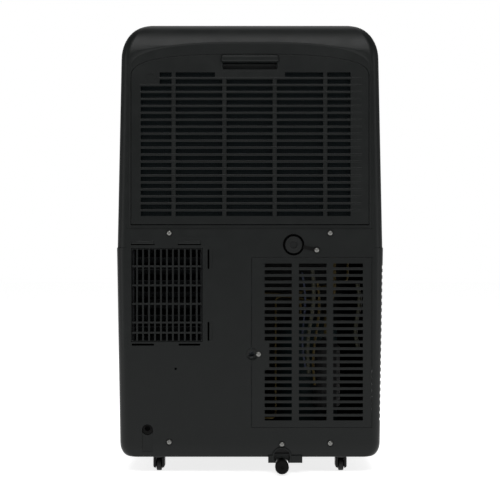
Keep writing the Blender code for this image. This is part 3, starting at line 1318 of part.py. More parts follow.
def pipes():
    ax, ay = ACCUMULATOR_X, ACCUMULATOR_Y
    face_y = EVAPORATOR_LOW[1] - PIPE_GAP
    face_x = CONDENSER_LOW[0] - PIPE_GAP
    cold_z = EVAPORATOR_LOW[2]
    hole_x, hole_y = SUCTION_HOLE
    start_z = ACCUMULATOR_HIGH_Z
    suction = [
        (ax, ay, start_z + PIPE_GAP),
        (ax, ay, start_z + SUCTION_RISE),
        (ax, ay - SUCTION_STEP, start_z + SUCTION_RISE),
        (hole_x, hole_y, start_z + SUCTION_TURN),
        (hole_x, hole_y, cold_z + SUCTION_ENTRY),
        (hole_x, face_y, cold_z + SUCTION_ENTRY),
    ]
    keep(tube("suction_pipe", suction, PIPE_R), "suction_pipe", COPPER)
    top_x = COMPRESSOR_X + DISCHARGE_OFFSET[0]
    top_y = COMPRESSOR_Y + DISCHARGE_OFFSET[1]
    top_z = COMPRESSOR_HIGH_Z + RUN
    swing_x = top_x - DISCHARGE_SWING
    back_y = top_y + DISCHARGE_BACK
    discharge = [
        (top_x, top_y, top_z),
        (top_x, top_y, top_z + DISCHARGE_RISE),
        (swing_x, top_y + DISCHARGE_BACK / 2, top_z + DISCHARGE_RISE),
        (swing_x, back_y, top_z + DISCHARGE_SWING),
        (top_x + DISCHARGE_RISE, back_y, top_z + DISCHARGE_ENTRY),
        (face_x, back_y, top_z + DISCHARGE_ENTRY),
    ]
    keep(tube("discharge_pipe", discharge, THIN_PIPE_R), "discharge_pipe", COPPER)
    hole_x, hole_y = CAPILLARY_HOLE
    edge_y = CONDENSER_HIGH[1] - CAPILLARY_EDGE
    low_z = CONDENSER_LOW[2] + CAPILLARY_LOW
    high_z = CONDENSER_LOW[2] + CAPILLARY_RISE
    capillary = [
        (face_x, edge_y, low_z),
        (face_x - CAPILLARY_LOW, edge_y, low_z),
        (face_x - CAPILLARY_LOW, edge_y, high_z),
        (hole_x, hole_y, high_z + CAPILLARY_LOW),
        (hole_x, hole_y, cold_z + CAPILLARY_LOW),
        (hole_x, face_y, cold_z + CAPILLARY_LOW),
    ]
    keep(tube("capillary_tube", capillary, CAPILLARY_R), "capillary_tube", COPPER)
    side = Vector((ax - COMPRESSOR_X, ay - COMPRESSOR_Y, 0)).normalized()
    inlet = Vector((COMPRESSOR_X, COMPRESSOR_Y, 0)) + side * (COMPRESSOR_R + RUN)
    low = ACCUMULATOR_LOW_Z - RETURN_DROP
    back = [(ax, ay, ACCUMULATOR_LOW_Z - PIPE_GAP), (ax, ay, low), (inlet.x, inlet.y, low)]
    keep(tube("return_pipe", back, THIN_PIPE_R), "return_pipe", COPPER)


# Drains

def upper_drain():
    x, z = UPPER_DRAIN_X, UPPER_DRAIN_Z
    well_y = REAR_Y - WELL_DEPTH
    inner_y = REAR_Y - WELL_DEPTH - 3 * TRAY_GAP + SCREW_SEAT
    tip_y = well_y + NOZZLE_TIP
    base = (x, inner_y, z)
    long = tip_y - inner_y
    flange = well_y - CAP_WALL - SCREW_SEAT - inner_y
    profile = [
        (NOZZLE_R, long),
        (NOZZLE_R, flange),
        (NOZZLE_FLANGE_R, flange),
        (NOZZLE_FLANGE_R, 0.0),
        (NOZZLE_BORE, 0.0),
        (NOZZLE_BORE, long),
    ]
    nozzle = turned("upper_drain_nozzle", profile, base, (0, 1, 0), closed=True)
    keep(nozzle, "upper_drain_nozzle", CASING)
    seat_y = tip_y + SCREW_SEAT
    gasket = [
        (NOZZLE_R, GASKET_THICK),
        (NOZZLE_R, 0.0),
        (NOZZLE_BORE / 2, 0.0),
        (NOZZLE_BORE / 2, GASKET_THICK),
    ]
    pivot = (x, seat_y, z)
    washer = turned("drain_gasket", gasket, pivot, (0, 1, 0), closed=True)
    keep(washer, "drain_gasket", RUBBER, pivot)
    skirt = well_y + TETHER_THICK + 2 * FIT - seat_y
    inside = GASKET_THICK + SCREW_SEAT
    bore = NOZZLE_R + CAP_PLAY
    cap = [
        (0.0, inside + CAP_END - CAP_SOCKET_DEPTH),
        (CAP_SOCKET_R, inside + CAP_END - CAP_SOCKET_DEPTH),
        (CAP_SOCKET_R, inside + CAP_END),
        (CAP_R - CAP_CHAMFER, inside + CAP_END),
        (CAP_R, inside + CAP_END - CAP_CHAMFER),
        (CAP_R, skirt),
        (bore, skirt),
        (bore, inside),
        (0.0, inside),
    ]
    keep(turned("drain_cap", cap, pivot, (0, 1, 0)), "drain_cap", RUBBER, pivot)


def drain_tether():
    """A strap from a ring round the nozzle, up the side of the well and over to its screw."""
    x, z = UPPER_DRAIN_X, UPPER_DRAIN_Z
    low_y = REAR_Y - WELL_DEPTH + SCREW_SEAT
    ring_out = WELL_R - 2 * RUN
    loop = [
        (ring_out - RUN, TETHER_THICK),
        (ring_out - RUN, 0.0),
        (NOZZLE_R + RUN, 0.0),
        (NOZZLE_R + RUN, TETHER_THICK),
    ]
    strap = turned("drain_tether", loop, (x, low_y, z), (0, 1, 0), closed=True)
    top_y = REAR_Y + SCREW_SEAT
    over_y = top_y + TETHER_THICK
    reach = math.hypot(TETHER_SCREW[0] - x, TETHER_SCREW[1] - z)
    half = TETHER_WIDTH / 2
    far = x + WELL_R - RUN / 2
    near = far - TETHER_THICK
    lap = TETHER_THICK / 2
    foot = cuboid(
        "foot",
        (near - 2 * RUN, low_y + lap / 4, z - half),
        (near + lap, low_y + TETHER_THICK - lap / 4, z + half),
    )
    riser = cuboid(
        "riser",
        (near, low_y, z - half + lap / 4),
        (far, over_y - lap / 4, z + half - lap / 4),
    )
    eye_x = x + reach
    over = cuboid("over", (near + lap / 2, top_y, z - half), (eye_x, over_y, z + half))
    eyelet = rod("eyelet", (eye_x, top_y + lap / 4, z), (eye_x, over_y - lap / 8, z), TETHER_EYE_R)
    hole = hole_y(eye_x, z, SCREW_HOLE_R)
    angle = math.atan2(TETHER_SCREW[1] - z, TETHER_SCREW[0] - x)
    place = Vector((x, 0, z))
    turn = Matrix.Translation(place) @ Matrix.Rotation(-angle, 4, "Y") @ Matrix.Translation(-place)
    for piece in (foot, riser, over, eyelet, hole):
        piece.data.transform(turn)
    keep(cut(join(strap, foot, riser, over, eyelet), hole), "drain_tether", RUBBER)


def lower_drain():
    x, z = LOWER_DRAIN_X, LOWER_DRAIN_Z
    spout = rod("lower_drain_spout", (x, SPOUT_INNER_Y, z), (x, SPOUT_END_Y, z), SPOUT_R)
    neck_y = SPOUT_INNER_Y + SPOUT_NECK_R
    neck_top = UNDERSIDE_Z + WALL + FIT - SCREW_SEAT
    neck = rod("neck", (x, neck_y, z), (x, neck_y, neck_top), SPOUT_NECK_R)
    bore = rod("bore", (x, neck_y, z), (x, SPOUT_END_Y + PAST, z), SPOUT_BORE)
    keep(cut(join(spout, neck), bore), "lower_drain_spout", CASING)
    pivot = (x, SPOUT_END_Y, z)
    inner = SPOUT_R + SCREW_SEAT
    plug = [
        (0.0, PLUG_END - PLUG_DIMPLE),
        (PLUG_DIMPLE_R, PLUG_END - PLUG_DIMPLE),
        (PLUG_DIMPLE_R, PLUG_END),
        (PLUG_R - CAP_CHAMFER, PLUG_END),
        (PLUG_R, PLUG_END - CAP_CHAMFER),
        (PLUG_R, -PLUG_SKIRT),
        (inner, -PLUG_SKIRT),
        (inner, SCREW_SEAT),
        (PLUG_STEM_R, SCREW_SEAT),
        (PLUG_STEM_R, -PLUG_SKIRT / 2),
        (0.0, -PLUG_SKIRT / 2),
    ]
    keep(turned("lower_drain_plug", plug, pivot, (0, 1, 0)), "lower_drain_plug", RUBBER, pivot)


# Casters

def casters():
    floor_gap = CASTER_PLATE_GAP
    plate_top = UNDERSIDE_Z + WALL + FIT - floor_gap
    for number, (x, y) in enumerate(caster_places(), 1):
        wheel_y = y - CASTER_TRAIL
        inner = CASTER_WHEEL_WIDTH / 2 + CAP_PLAY
        outer = inner + CASTER_CHEEK
        z = CASTER_WHEEL_R
        fork = rod("fork", (x, y, CASTER_PLATE_Z), (x, y, plate_top), CASTER_PLATE_R)
        cheeks = [
            cuboid(
                "cheek",
                (x + low, wheel_y - CASTER_CHEEK_HALF, z - CASTER_CHEEK_DROP),
                (x + high, wheel_y + CASTER_CHEEK_HALF, CASTER_PLATE_Z + FIT),
            )
            for low, high in ((-outer, -inner), (inner, outer))
        ]
        reach = inner + FIT
        axle_start, axle_end = (x - reach, wheel_y, z), (x + reach, wheel_y, z)
        axle = rod("axle", axle_start, axle_end, CASTER_AXLE_R, PIN_ROUND)
        stem_top = (x, y, CASTER_STEM_TOP_Z - RUN)
        stem = rod("stem", (x, y, plate_top - FIT), stem_top, CASTER_STEM_R, PIN_ROUND)
        keep(join(fork, *cheeks, axle, stem), f"caster_fork_{number}", DARK, (x, y, plate_top))
        half = CASTER_WHEEL_WIDTH / 2
        bevel = CASTER_WHEEL_BEVEL
        bore = CASTER_AXLE_R + SCREW_SEAT
        tread = [
            (CASTER_WHEEL_R, half - bevel),
            (CASTER_WHEEL_R, bevel - half),
            (CASTER_WHEEL_R - bevel, -half),
            (bore, -half),
            (bore, half),
            (CASTER_WHEEL_R - bevel, half),
        ]
        centre = (x, wheel_y, z)
        wheel = turned("wheel", tread, centre, (1, 0, 0), closed=True)
        keep(wheel, f"caster_wheel_{number}", DARK, centre)


def electrical_box():
    low, high = Vector(ELECTRICS_LOW), Vector(ELECTRICS_HIGH)
    inset = LID_INSET
    box = cuboid("electrical_box", low, high)
    lid_low = (low.x + inset, low.y - inset, low.z + inset)
    cover = cuboid("lid", lid_low, (high.x - inset, low.y + inset, high.z - inset))
    keep(join(box, cover), "electrical_box", INNER)


def main():
    rear_cover()
    front_panel()
    top_cover()
    base_pan()
    filter_frame()
    intake_grille()
    exhaust_grille()
    casing_screws()
    air_flap()
    vanes()
    vane_link()
    control_panel()
    cold_fan()
    hot_fan()
    coil("evaporator_coil", EVAPORATOR_LOW, EVAPORATOR_HIGH, 0)
    coil("condenser_coil", CONDENSER_LOW, CONDENSER_HIGH, 1)
    drip_tray()
    compressor()
    pipes()
    upper_drain()
    drain_tether()
    lower_drain()
    casters()
    electrical_box()
    for part in PARTS.objects:
        part.data.shade_smooth()
        part.data.set_sharp_from_angle(angle=SMOOTH_ANGLE)


main()
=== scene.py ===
import math

import bpy
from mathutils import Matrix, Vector


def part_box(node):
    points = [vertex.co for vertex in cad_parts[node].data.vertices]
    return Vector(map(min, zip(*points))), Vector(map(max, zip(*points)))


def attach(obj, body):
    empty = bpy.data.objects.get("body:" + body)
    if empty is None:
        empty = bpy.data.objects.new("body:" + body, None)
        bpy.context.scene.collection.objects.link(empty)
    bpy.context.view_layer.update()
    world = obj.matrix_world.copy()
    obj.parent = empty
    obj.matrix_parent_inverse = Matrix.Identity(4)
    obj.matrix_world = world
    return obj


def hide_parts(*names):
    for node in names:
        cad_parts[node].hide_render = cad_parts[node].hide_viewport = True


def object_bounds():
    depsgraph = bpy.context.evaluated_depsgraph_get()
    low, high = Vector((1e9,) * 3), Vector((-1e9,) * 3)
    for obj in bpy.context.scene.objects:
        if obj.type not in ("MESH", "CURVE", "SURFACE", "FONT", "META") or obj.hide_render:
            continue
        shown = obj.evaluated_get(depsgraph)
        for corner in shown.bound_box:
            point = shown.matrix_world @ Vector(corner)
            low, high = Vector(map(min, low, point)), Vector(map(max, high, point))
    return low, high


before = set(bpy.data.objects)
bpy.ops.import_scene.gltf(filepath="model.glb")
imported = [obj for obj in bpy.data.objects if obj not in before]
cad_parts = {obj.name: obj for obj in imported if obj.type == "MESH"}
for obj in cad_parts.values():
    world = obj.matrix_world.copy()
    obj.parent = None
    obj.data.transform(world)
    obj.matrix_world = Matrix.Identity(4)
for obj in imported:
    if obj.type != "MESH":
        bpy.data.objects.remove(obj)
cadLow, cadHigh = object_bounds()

toRear = Vector((0, 1, 0))
upward = Vector((0, 0, 1))


# tools of the bench

def letGo():
    if bpy.context.object and bpy.context.object.mode != "OBJECT":
        bpy.ops.object.mode_set(mode="OBJECT")
    bpy.ops.object.select_all(action="DESELECT")


def hold(*things):
    letGo()
    for thing in things:
        thing.select_set(True)
    bpy.context.view_layer.objects.active = things[0]


def takeNew(name, scale=(1, 1, 1)):
    thing = bpy.context.object
    thing.name = name
    thing.data.name = name
    thing.scale = scale
    bpy.ops.object.transform_apply(location=True, rotation=True, scale=True)
    return thing


def applyLast(thing):
    hold(thing)
    bpy.ops.object.modifier_apply(modifier=thing.modifiers[-1].name)


def softenEdges(thing, width, steps=2, angle=35):
    bevel = thing.modifiers.new("soft edge", "BEVEL")
    bevel.width = width
    bevel.segments = steps
    bevel.limit_method = "ANGLE"
    bevel.angle_limit = math.radians(angle)
    bevel.miter_outer = "MITER_ARC"
    applyLast(thing)
    return thing


def block(name, low, high, edge=0.0, steps=2):
    letGo()
    low, high = Vector(low), Vector(high)
    bpy.ops.mesh.primitive_cube_add(size=1, location=(low + high) / 2)
    thing = takeNew(name, high - low)
    if edge:
        bpy.ops.object.mode_set(mode="EDIT")
        bpy.ops.mesh.select_all(action="SELECT")
        bpy.ops.mesh.bevel(offset=edge, segments=steps, affect="EDGES")
        bpy.ops.object.mode_set(mode="OBJECT")
    return thing


def rodBetween(name, start, end, radius, sides=32, edge=0.0):
    letGo()
    start, end = Vector(start), Vector(end)
    along = end - start
    bpy.ops.mesh.primitive_cylinder_add(
        vertices=sides,
        radius=radius,
        depth=along.length,
        location=(start + end) / 2,
        rotation=along.to_track_quat("Z", "Y").to_euler(),
    )
    thing = takeNew(name)
    if edge:
        softenEdges(thing, edge)
    return thing


def drawOut(name, base, axis, rings, sides=48):
    # a disc drawn out along its axis, ring by ring: each ring is a radius and a distance from the base
    letGo()
    base, axis = Vector(base), Vector(axis)
    radius, reach = rings[0]
    bpy.ops.mesh.primitive_circle_add(
        vertices=sides,
        radius=radius,
        fill_type="NGON",
        location=base + axis * reach,
        rotation=axis.to_track_quat("Z", "Y").to_euler(),
    )
    thing = takeNew(name)
    bpy.ops.object.mode_set(mode="EDIT")
    bpy.ops.mesh.select_all(action="SELECT")
    for nextRadius, nextReach in rings[1:]:
        bpy.ops.mesh.extrude_region_move(TRANSFORM_OT_translate={"value": axis * (nextReach - reach)})
        share = nextRadius / radius
        bpy.ops.transform.resize(value=(share, share, share), center_override=base + axis * nextReach)
        radius, reach = nextRadius, nextReach
    bpy.ops.mesh.select_all(action="SELECT")
    bpy.ops.mesh.normals_make_consistent(inside=False)
    bpy.ops.object.mode_set(mode="OBJECT")
    return thing


def pickFaces(thing, wanted):
    hold(thing)
    bpy.ops.object.mode_set(mode="EDIT")
    bpy.ops.mesh.select_mode(type="FACE")
    bpy.ops.mesh.select_all(action="DESELECT")
    bpy.ops.object.mode_set(mode="OBJECT")
    for face in thing.data.polygons:
        face.select = wanted(face)
    bpy.ops.object.mode_set(mode="EDIT")


def pickPoints(thing, wanted):
    hold(thing)
    bpy.ops.object.mode_set(mode="EDIT")
    bpy.ops.mesh.select_mode(type="VERT")
    bpy.ops.mesh.select_all(action="DESELECT")
    bpy.ops.object.mode_set(mode="OBJECT")
    for point in thing.data.vertices:
        point.select = wanted(point.co)
    bpy.ops.object.mode_set(mode="EDIT")


def boolean(thing, others, operation):
    for other in others:
        step = thing.modifiers.new("bench", "BOOLEAN")
        step.operation = operation
        step.object = other
        applyLast(thing)
        bpy.data.objects.remove(other)
    return thing


def cutAway(thing, *cutters):
    return boolean(thing, cutters, "DIFFERENCE")


def weldOn(thing, *others):
    return boolean(thing, others, "UNION")


def joinUp(name, things):
    hold(*things)
    bpy.ops.object.join()
    thing = bpy.context.object
    thing.name = name
    return thing


def copyOf(thing, name, shift):
    made = thing.copy()
    made.data = thing.data.copy()
    made.name = name
    bpy.context.scene.collection.objects.link(made)
    hold(made)
    bpy.ops.transform.translate(value=shift)
    bpy.ops.object.transform_apply(location=True, rotation=True, scale=True)
    return made


def keepSide(thing, place, side):
    # the part of an open skin on one side of a plane
    hold(thing)
    bpy.ops.object.mode_set(mode="EDIT")
    bpy.ops.mesh.select_all(action="SELECT")
    bpy.ops.mesh.bisect(plane_co=place, plane_no=side, clear_inner=True, use_fill=False)
    bpy.ops.object.mode_set(mode="OBJECT")
    return thing


def turnAbout(thing, angle, axis, place):
    hold(thing)
    bpy.ops.transform.rotate(value=-angle, orient_axis=axis, center_override=place)
    bpy.ops.object.transform_apply(location=True, rotation=True, scale=True)
    return thing


def cleanMesh(thing):
    hold(thing)
    bpy.ops.object.mode_set(mode="EDIT")
    bpy.ops.mesh.select_all(action="SELECT")
    bpy.ops.mesh.remove_doubles(threshold=0.000003)
    bpy.ops.mesh.dissolve_degenerate(threshold=0.000003)
    bpy.ops.mesh.select_all(action="SELECT")
    bpy.ops.mesh.delete_loose()
    bpy.ops.object.mode_set(mode="OBJECT")


def finishPiece(thing, body, look, stands=(), angle=35):
    cleanMesh(thing)
    hold(thing)
    bpy.ops.object.shade_smooth_by_angle(angle=math.radians(angle))
    flatter = thing.modifiers.new("flat faces", "WEIGHTED_NORMAL")
    flatter.keep_sharp = True
    applyLast(thing)
    thing.data.materials.clear()
    thing.data.materials.append(look.material)
    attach(thing, body)
    if stands:
        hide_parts(*stands)
    return thing


def middleOf(node):
    low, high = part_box(node)
    return (low + high) / 2


def boreRear(name, x, z, radius, startY, endY, sides=32):
    return rodBetween(name, (x, startY, z), (x, endY, z), radius, sides)


# finishes

class Wire:
    def __init__(self, look, socket):
        self.look, self.socket = look, socket

    def sum(self, operation, first, second):
        return self.look.node("ShaderNodeMath", {"operation": operation}, {0: first, 1: second})

    def __add__(self, other):
        return self.sum("ADD", self, other)

    def __radd__(self, other):
        return self.sum("ADD", other, self)

    def __sub__(self, other):
        return self.sum("SUBTRACT", self, other)

    def __rsub__(self, other):
        return self.sum("SUBTRACT", other, self)

    def __mul__(self, other):
        return self.sum("MULTIPLY", self, other)

    def __rmul__(self, other):
        return self.sum("MULTIPLY", other, self)


class Look:
    def __init__(self, name, color, roughness, metallic=0.0, specular=0.5, coat=0.0, sheen=0.0):
        self.material = bpy.data.materials.new(name)
        self.material.use_nodes = True
        self.tree = self.material.node_tree
        self.shader = self.tree.nodes["Principled BSDF"]
        self.color = (*color, 1.0)
        self.shader.inputs["Base Color"].default_value = self.color
        self.shader.inputs["Roughness"].default_value = roughness
        self.shader.inputs["Metallic"].default_value = metallic
        self.shader.inputs["Specular IOR Level"].default_value = specular
        self.shader.inputs["Coat Weight"].default_value = coat
        self.shader.inputs["Sheen Weight"].default_value = sheen
        self.place = self.node("ShaderNodeTexCoord", output="Object")

    def node(self, kind, settings=None, inputs=None, output=0):
        made = self.tree.nodes.new(kind)
        for key, value in (settings or {}).items():
            if key == "stops":
                stops = made.color_ramp.elements
                for index, (spot, shade) in enumerate(value):
                    stop = stops[index] if index < 2 else stops.new(spot)
                    stop.position = spot
                    stop.color = (shade, shade, shade, 1.0)
            else:
                setattr(made, key, value)
        for key, value in (inputs or {}).items():
            if isinstance(value, Wire):
                self.tree.links.new(value.socket, made.inputs[key])
            else:
                made.inputs[key].default_value = value
        return Wire(self, made.outputs[output])

    def feed(self, name, wire):
        self.tree.links.new(wire.socket, self.shader.inputs[name])

    def noise(self, scale, detail=3.0, where=None):
        inputs = {"Vector": where or self.place, "Scale": scale, "Detail": detail}
        return self.node("ShaderNodeTexNoise", {}, inputs)

    def waves(self, scale, direction, where=None):
        settings = {"wave_type": "BANDS", "bands_direction": direction}
        return self.node("ShaderNodeTexWave", settings, {"Vector": where or self.place, "Scale": scale})

    def ramp(self, wire, stops):
        return self.node("ShaderNodeValToRGB", {"stops": stops}, {0: wire})

    def tint(self, factor, color, other=None):
        inputs = {0: factor, 6: other or self.color, 7: (*color, 1.0)}
        return self.node("ShaderNodeMix", {"data_type": "RGBA"}, inputs, output=2)

    def bump(self, height, strength, depth):
        inputs = {"Height": height, "Strength": strength, "Distance": depth}
        self.feed("Normal", self.node("ShaderNodeBump", {}, inputs))


def waveFor(pitch):
    # the wave texture turns twenty times as fast as its scale says
    return math.tau / (20 * pitch)


def mouldedPlastic(name, color, lift, roughness, specular=0.5, grain=950.0, depth=0.00012):
    # spark-eroded plastic: a fine pebble, cloudy gloss where cloths have been, and a little dust
    look = Look(name, color, roughness, specular=specular)
    cloud = look.noise(7.0, 4.0)
    dust = look.ramp(look.noise(34.0, 6.0), [(0.42, 0.0), (0.78, 1.0)])
    look.feed("Base Color", look.tint(0.35 * dust + 0.25 * cloud, lift))
    look.feed("Roughness", roughness - 0.05 + 0.1 * cloud + 0.06 * dust)
    pebble = look.noise(grain, 2.0)
    look.bump(pebble + 0.3 * look.noise(grain * 0.22, 2.0), 0.28, depth)
    return look


def softRubber():
    look = Look("soft rubber", (0.0024, 0.0024, 0.0024), 0.7, specular=0.1)
    bloom = look.noise(55.0, 4.0)
    look.feed("Base Color", look.tint(0.5 * bloom, (0.009, 0.009, 0.0085)))
    look.feed("Roughness", 0.7 + 0.2 * bloom)
    look.bump(look.noise(700.0), 0.2, 0.0001)
    return look


def polishedPanel(name):
    look = Look(name, (0.005, 0.005, 0.006), 0.22, specular=0.4, coat=0.15)
    smear = look.noise(26.0, 5.0)
    look.feed("Roughness", 0.2 + 0.16 * smear)
    look.feed("Base Color", look.tint(0.3 * smear, (0.012, 0.012, 0.013)))
    return look


def satinButton():
    look = Look("satin button", (0.11, 0.115, 0.12), 0.42)
    wear = look.noise(180.0, 3.0)
    look.feed("Base Color", look.tint(0.4 * wear, (0.17, 0.175, 0.18)))
    look.feed("Roughness", 0.36 + 0.14 * wear)
    look.bump(look.noise(1500.0), 0.15, 0.00005)
    return look


def zincPlate():
    look = Look("zinc plate", (0.24, 0.24, 0.23), 0.34, metallic=1.0)
    spangle = look.noise(420.0, 4.0)
    look.feed("Base Color", look.tint(0.5 * spangle, (0.17, 0.17, 0.16)))
    look.feed("Roughness", 0.22 + 0.22 * spangle)
    look.bump(look.noise(1600.0), 0.12, 0.00003)
    return look


def finnedAluminium(name, direction):
    look = Look(name, (0.10, 0.115, 0.13), 0.45, metallic=0.7)
    fins = look.waves(waveFor(0.0024), direction)
    rows = look.waves(waveFor(0.0210), "Z")
    dirt = look.noise(40.0, 5.0)
    # painted shade: the gaps between the fins are darkened toward near black, and darker bands run along the
    # tube rows
    finGapShade = look.ramp(fins, [(0.2, 1.0), (0.6, 0.0)])
    look.feed("Base Color", look.tint(finGapShade + 0.35 * rows - 0.35 * finGapShade * rows, (0.010, 0.012, 0.015)))
    look.feed("Roughness", 0.35 + 0.3 * dirt)
    look.bump(fins + 0.4 * rows, 0.6, 0.0012)
    return look


def drawnCopper(name):
    look = Look(name, (0.062, 0.048, 0.020), 0.45, metallic=1.0)
    tarnish = look.noise(60.0, 5.0)
    dulled = look.ramp(tarnish, [(0.4, 0.0), (0.7, 0.8)])
    look.feed("Base Color", look.tint(dulled, (0.05, 0.036, 0.014)))
    look.feed("Roughness", 0.25 + 0.3 * tarnish)
    look.bump(look.noise(900.0), 0.1, 0.00004)
    return look


def bakedEnamel(name, color, lift):
    look = Look(name, color, 0.48, specular=0.12)
    peel = look.noise(220.0, 2.0)
    look.feed("Roughness", 0.4 + 0.2 * peel)
    look.feed("Base Color", look.tint(0.4 * look.noise(30.0, 4.0), lift))
    look.bump(peel, 0.2, 0.0003)
    return look


def wovenMesh():
    # a nylon net over the coil: bluish strands, with painted shade in the holes between them where the dark
    # coil behind would show
    look = Look("woven mesh", (0.0036, 0.0062, 0.0068), 0.75, specular=0.08)
    across = look.waves(waveFor(0.0032), "X")
    along = look.waves(waveFor(0.0032), "Z")
    strands = look.ramp(across + along - across * along, [(0.55, 0.0), (0.9, 1.0)])
    look.feed("Base Color", look.tint(0.8 - 0.8 * strands, (0.0012, 0.0018, 0.0024)))
    look.feed("Roughness", 0.6 + 0.2 * look.noise(50.0))
    look.bump(strands, 0.5, 0.0005)
    return look


def coatedBoard():
    look = Look("coated board", (0.012, 0.06, 0.03), 0.35)
    tracks = look.waves(waveFor(0.006), "DIAGONAL")
    look.feed("Base Color", look.tint(look.ramp(tracks, [(0.5, 0.0), (0.56, 0.7)]), (0.02, 0.1, 0.05)))
    look.feed("Roughness", 0.3 + 0.2 * look.noise(90.0))
    return look


casingPlastic = mouldedPlastic(
    "casing plastic", (0.0034, 0.0044, 0.0042), (0.0066, 0.0080, 0.0076), 0.37, 0.21
)
darkPlastic = mouldedPlastic("dark plastic", (0.0030, 0.0030, 0.0031), (0.007, 0.007, 0.007), 0.5, 0.22)
innerPlastic = mouldedPlastic("inner plastic", (0.006, 0.0066, 0.0072), (0.012, 0.013, 0.014), 0.6, 0.14)
nylonTread = mouldedPlastic(
    "nylon tread", (0.004, 0.004, 0.004), (0.016, 0.0155, 0.015), 0.55, 0.25, 500.0
)
oliveSleeve = mouldedPlastic("olive sleeve", (0.020, 0.020, 0.008), (0.030, 0.030, 0.014), 0.55)
rubber = softRubber()
capRubber = mouldedPlastic("cap rubber", (0.0040, 0.0048, 0.0046), (0.0076, 0.0086, 0.0083), 0.48, 0.2)
panelGloss = polishedPanel("polished panel")
buttonSatin = satinButton()
zinc = zincPlate()
coldFins = finnedAluminium("cold coil fins", "X")
hotFins = finnedAluminium("hot coil fins", "Y")
copper = drawnCopper("drawn copper")
enamel = bakedEnamel("black enamel", (0.008, 0.008, 0.0085), (0.016, 0.0155, 0.015))
netting = wovenMesh()
boardGreen = coatedBoard()
tealEnamel = bakedEnamel("teal enamel", (0.006, 0.013, 0.014), (0.010, 0.020, 0.021))
blueSleeve = mouldedPlastic("blue sleeve", (0.008, 0.013, 0.035), (0.012, 0.018, 0.05), 0.45)
markInk = mouldedPlastic("mark ink", (0.5, 0.5, 0.5), (0.62, 0.62, 0.62), 0.5)
displayGlass = polishedPanel("display glass")
lampDark = mouldedPlastic("lamp off", (0.03, 0.05, 0.03), (0.05, 0.08, 0.05), 0.25)


def glowing(name, color, strength):
    look = Look(name, color, 0.3)
    look.shader.inputs["Emission Color"].default_value = (*color, 1.0)
    look.shader.inputs["Emission Strength"].default_value = strength
    look.feed("Base Color", look.tint(look.noise(900.0), tuple(0.6 * part for part in color)))
    return look


lampGreen = glowing("lamp lit", (0.1, 0.8, 0.25), 1.2)
digitLight = glowing("digit light", (0.75, 0.9, 1.0), 1.4)
paleFloor = Look("pale floor", (0.86, 0.86, 0.86), 0.75, specular=0.2)
paleFloor.feed("Roughness", 0.7 + 0.15 * paleFloor.noise(3.0))
paleFloor.shader.inputs["Emission Color"].default_value = (1.0, 1.0, 1.0, 1.0)
paleFloor.shader.inputs["Emission Strength"].default_value = 0.80
print("finishes mixed")


# casing

casing = {
    "rearFace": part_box("cord_gland")[1].y + 0.0006,
    "frontFace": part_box("front_panel")[0].y,
    "underside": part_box("front_panel")[0].z,
    "top": cadHigh.z,
    "waistHalf": cadHigh.x,
    "waistHeight": 0.388,
    "waistStep": 0.0012,
    "footHalf": 0.2230,
    "shoulderHalf": 0.2212,
    "shoulderDrop": 0.0600,
    "topInsets": (0.046, 0.022, 0.050),
    "bottomEdge": (0.024, 0.015, 0.004, 0.010),
    "rearCorner": 0.016,
    "frontCorner": 0.055,
    "bow": 0.006,
    "bowFade": 0.02,
    "wall": 0.0035,
    "seamY": -0.020,
    "seam": 0.0006,
    "topSeamDrop": 0.071,
    "archPower": 2.8,
}
rearFace = casing["rearFace"]
top = casing["top"]
past = 0.012  # how far a cutter reaches past what it cuts
skinLap = 0.001  # how far a welded piece reaches into the wall


def halfWidth(height):
    low, waist = casing["underside"], casing["waistHeight"]
    shoulder = top - casing["shoulderDrop"]
    if height <= waist:
        share = (height - low) / (waist - low)
        return casing["footHalf"] + (casing["waistHalf"] - casing["footHalf"]) * share
    share = min(1.0, (height - waist) / (shoulder - waist))
    upper = casing["waistHalf"] - casing["waistStep"]
    return upper + (casing["shoulderHalf"] - upper) * share


def casingLevels():
    # height, half width, rear and front of every level of the skin
    levels = []
    rise, side, rear, front = casing["bottomEdge"]
    for step in range(11):
        angle = math.pi / 2 * step / 10
        height = casing["underside"] + rise * (1 - math.cos(angle))
        turn = 1 - math.sin(angle)
        half = halfWidth(height) - side * turn
        levels.append((height, half, rearFace - rear * turn, casing["frontFace"] + front * turn))
    waist, seam = casing["waistHeight"], casing["seam"]
    shoulder = top - casing["shoulderDrop"]
    steps = [waist + seam * step for step in (-2, -1, 1, 2)]
    for height in steps + [(waist + shoulder) / 2, shoulder]:
        levels.append((height, halfWidth(height), rearFace, casing["frontFace"]))
    side, rear, front = casing["topInsets"]
    for step in range(1, 13):
        angle = math.pi / 2 * step / 12
        turn = 1 - math.cos(angle)
        height = shoulder + casing["shoulderDrop"] * math.sin(angle)
        half = halfWidth(shoulder) - side * turn
        levels.append((height, half, rearFace - rear * turn, casing["frontFace"] + front * turn))
    return levels


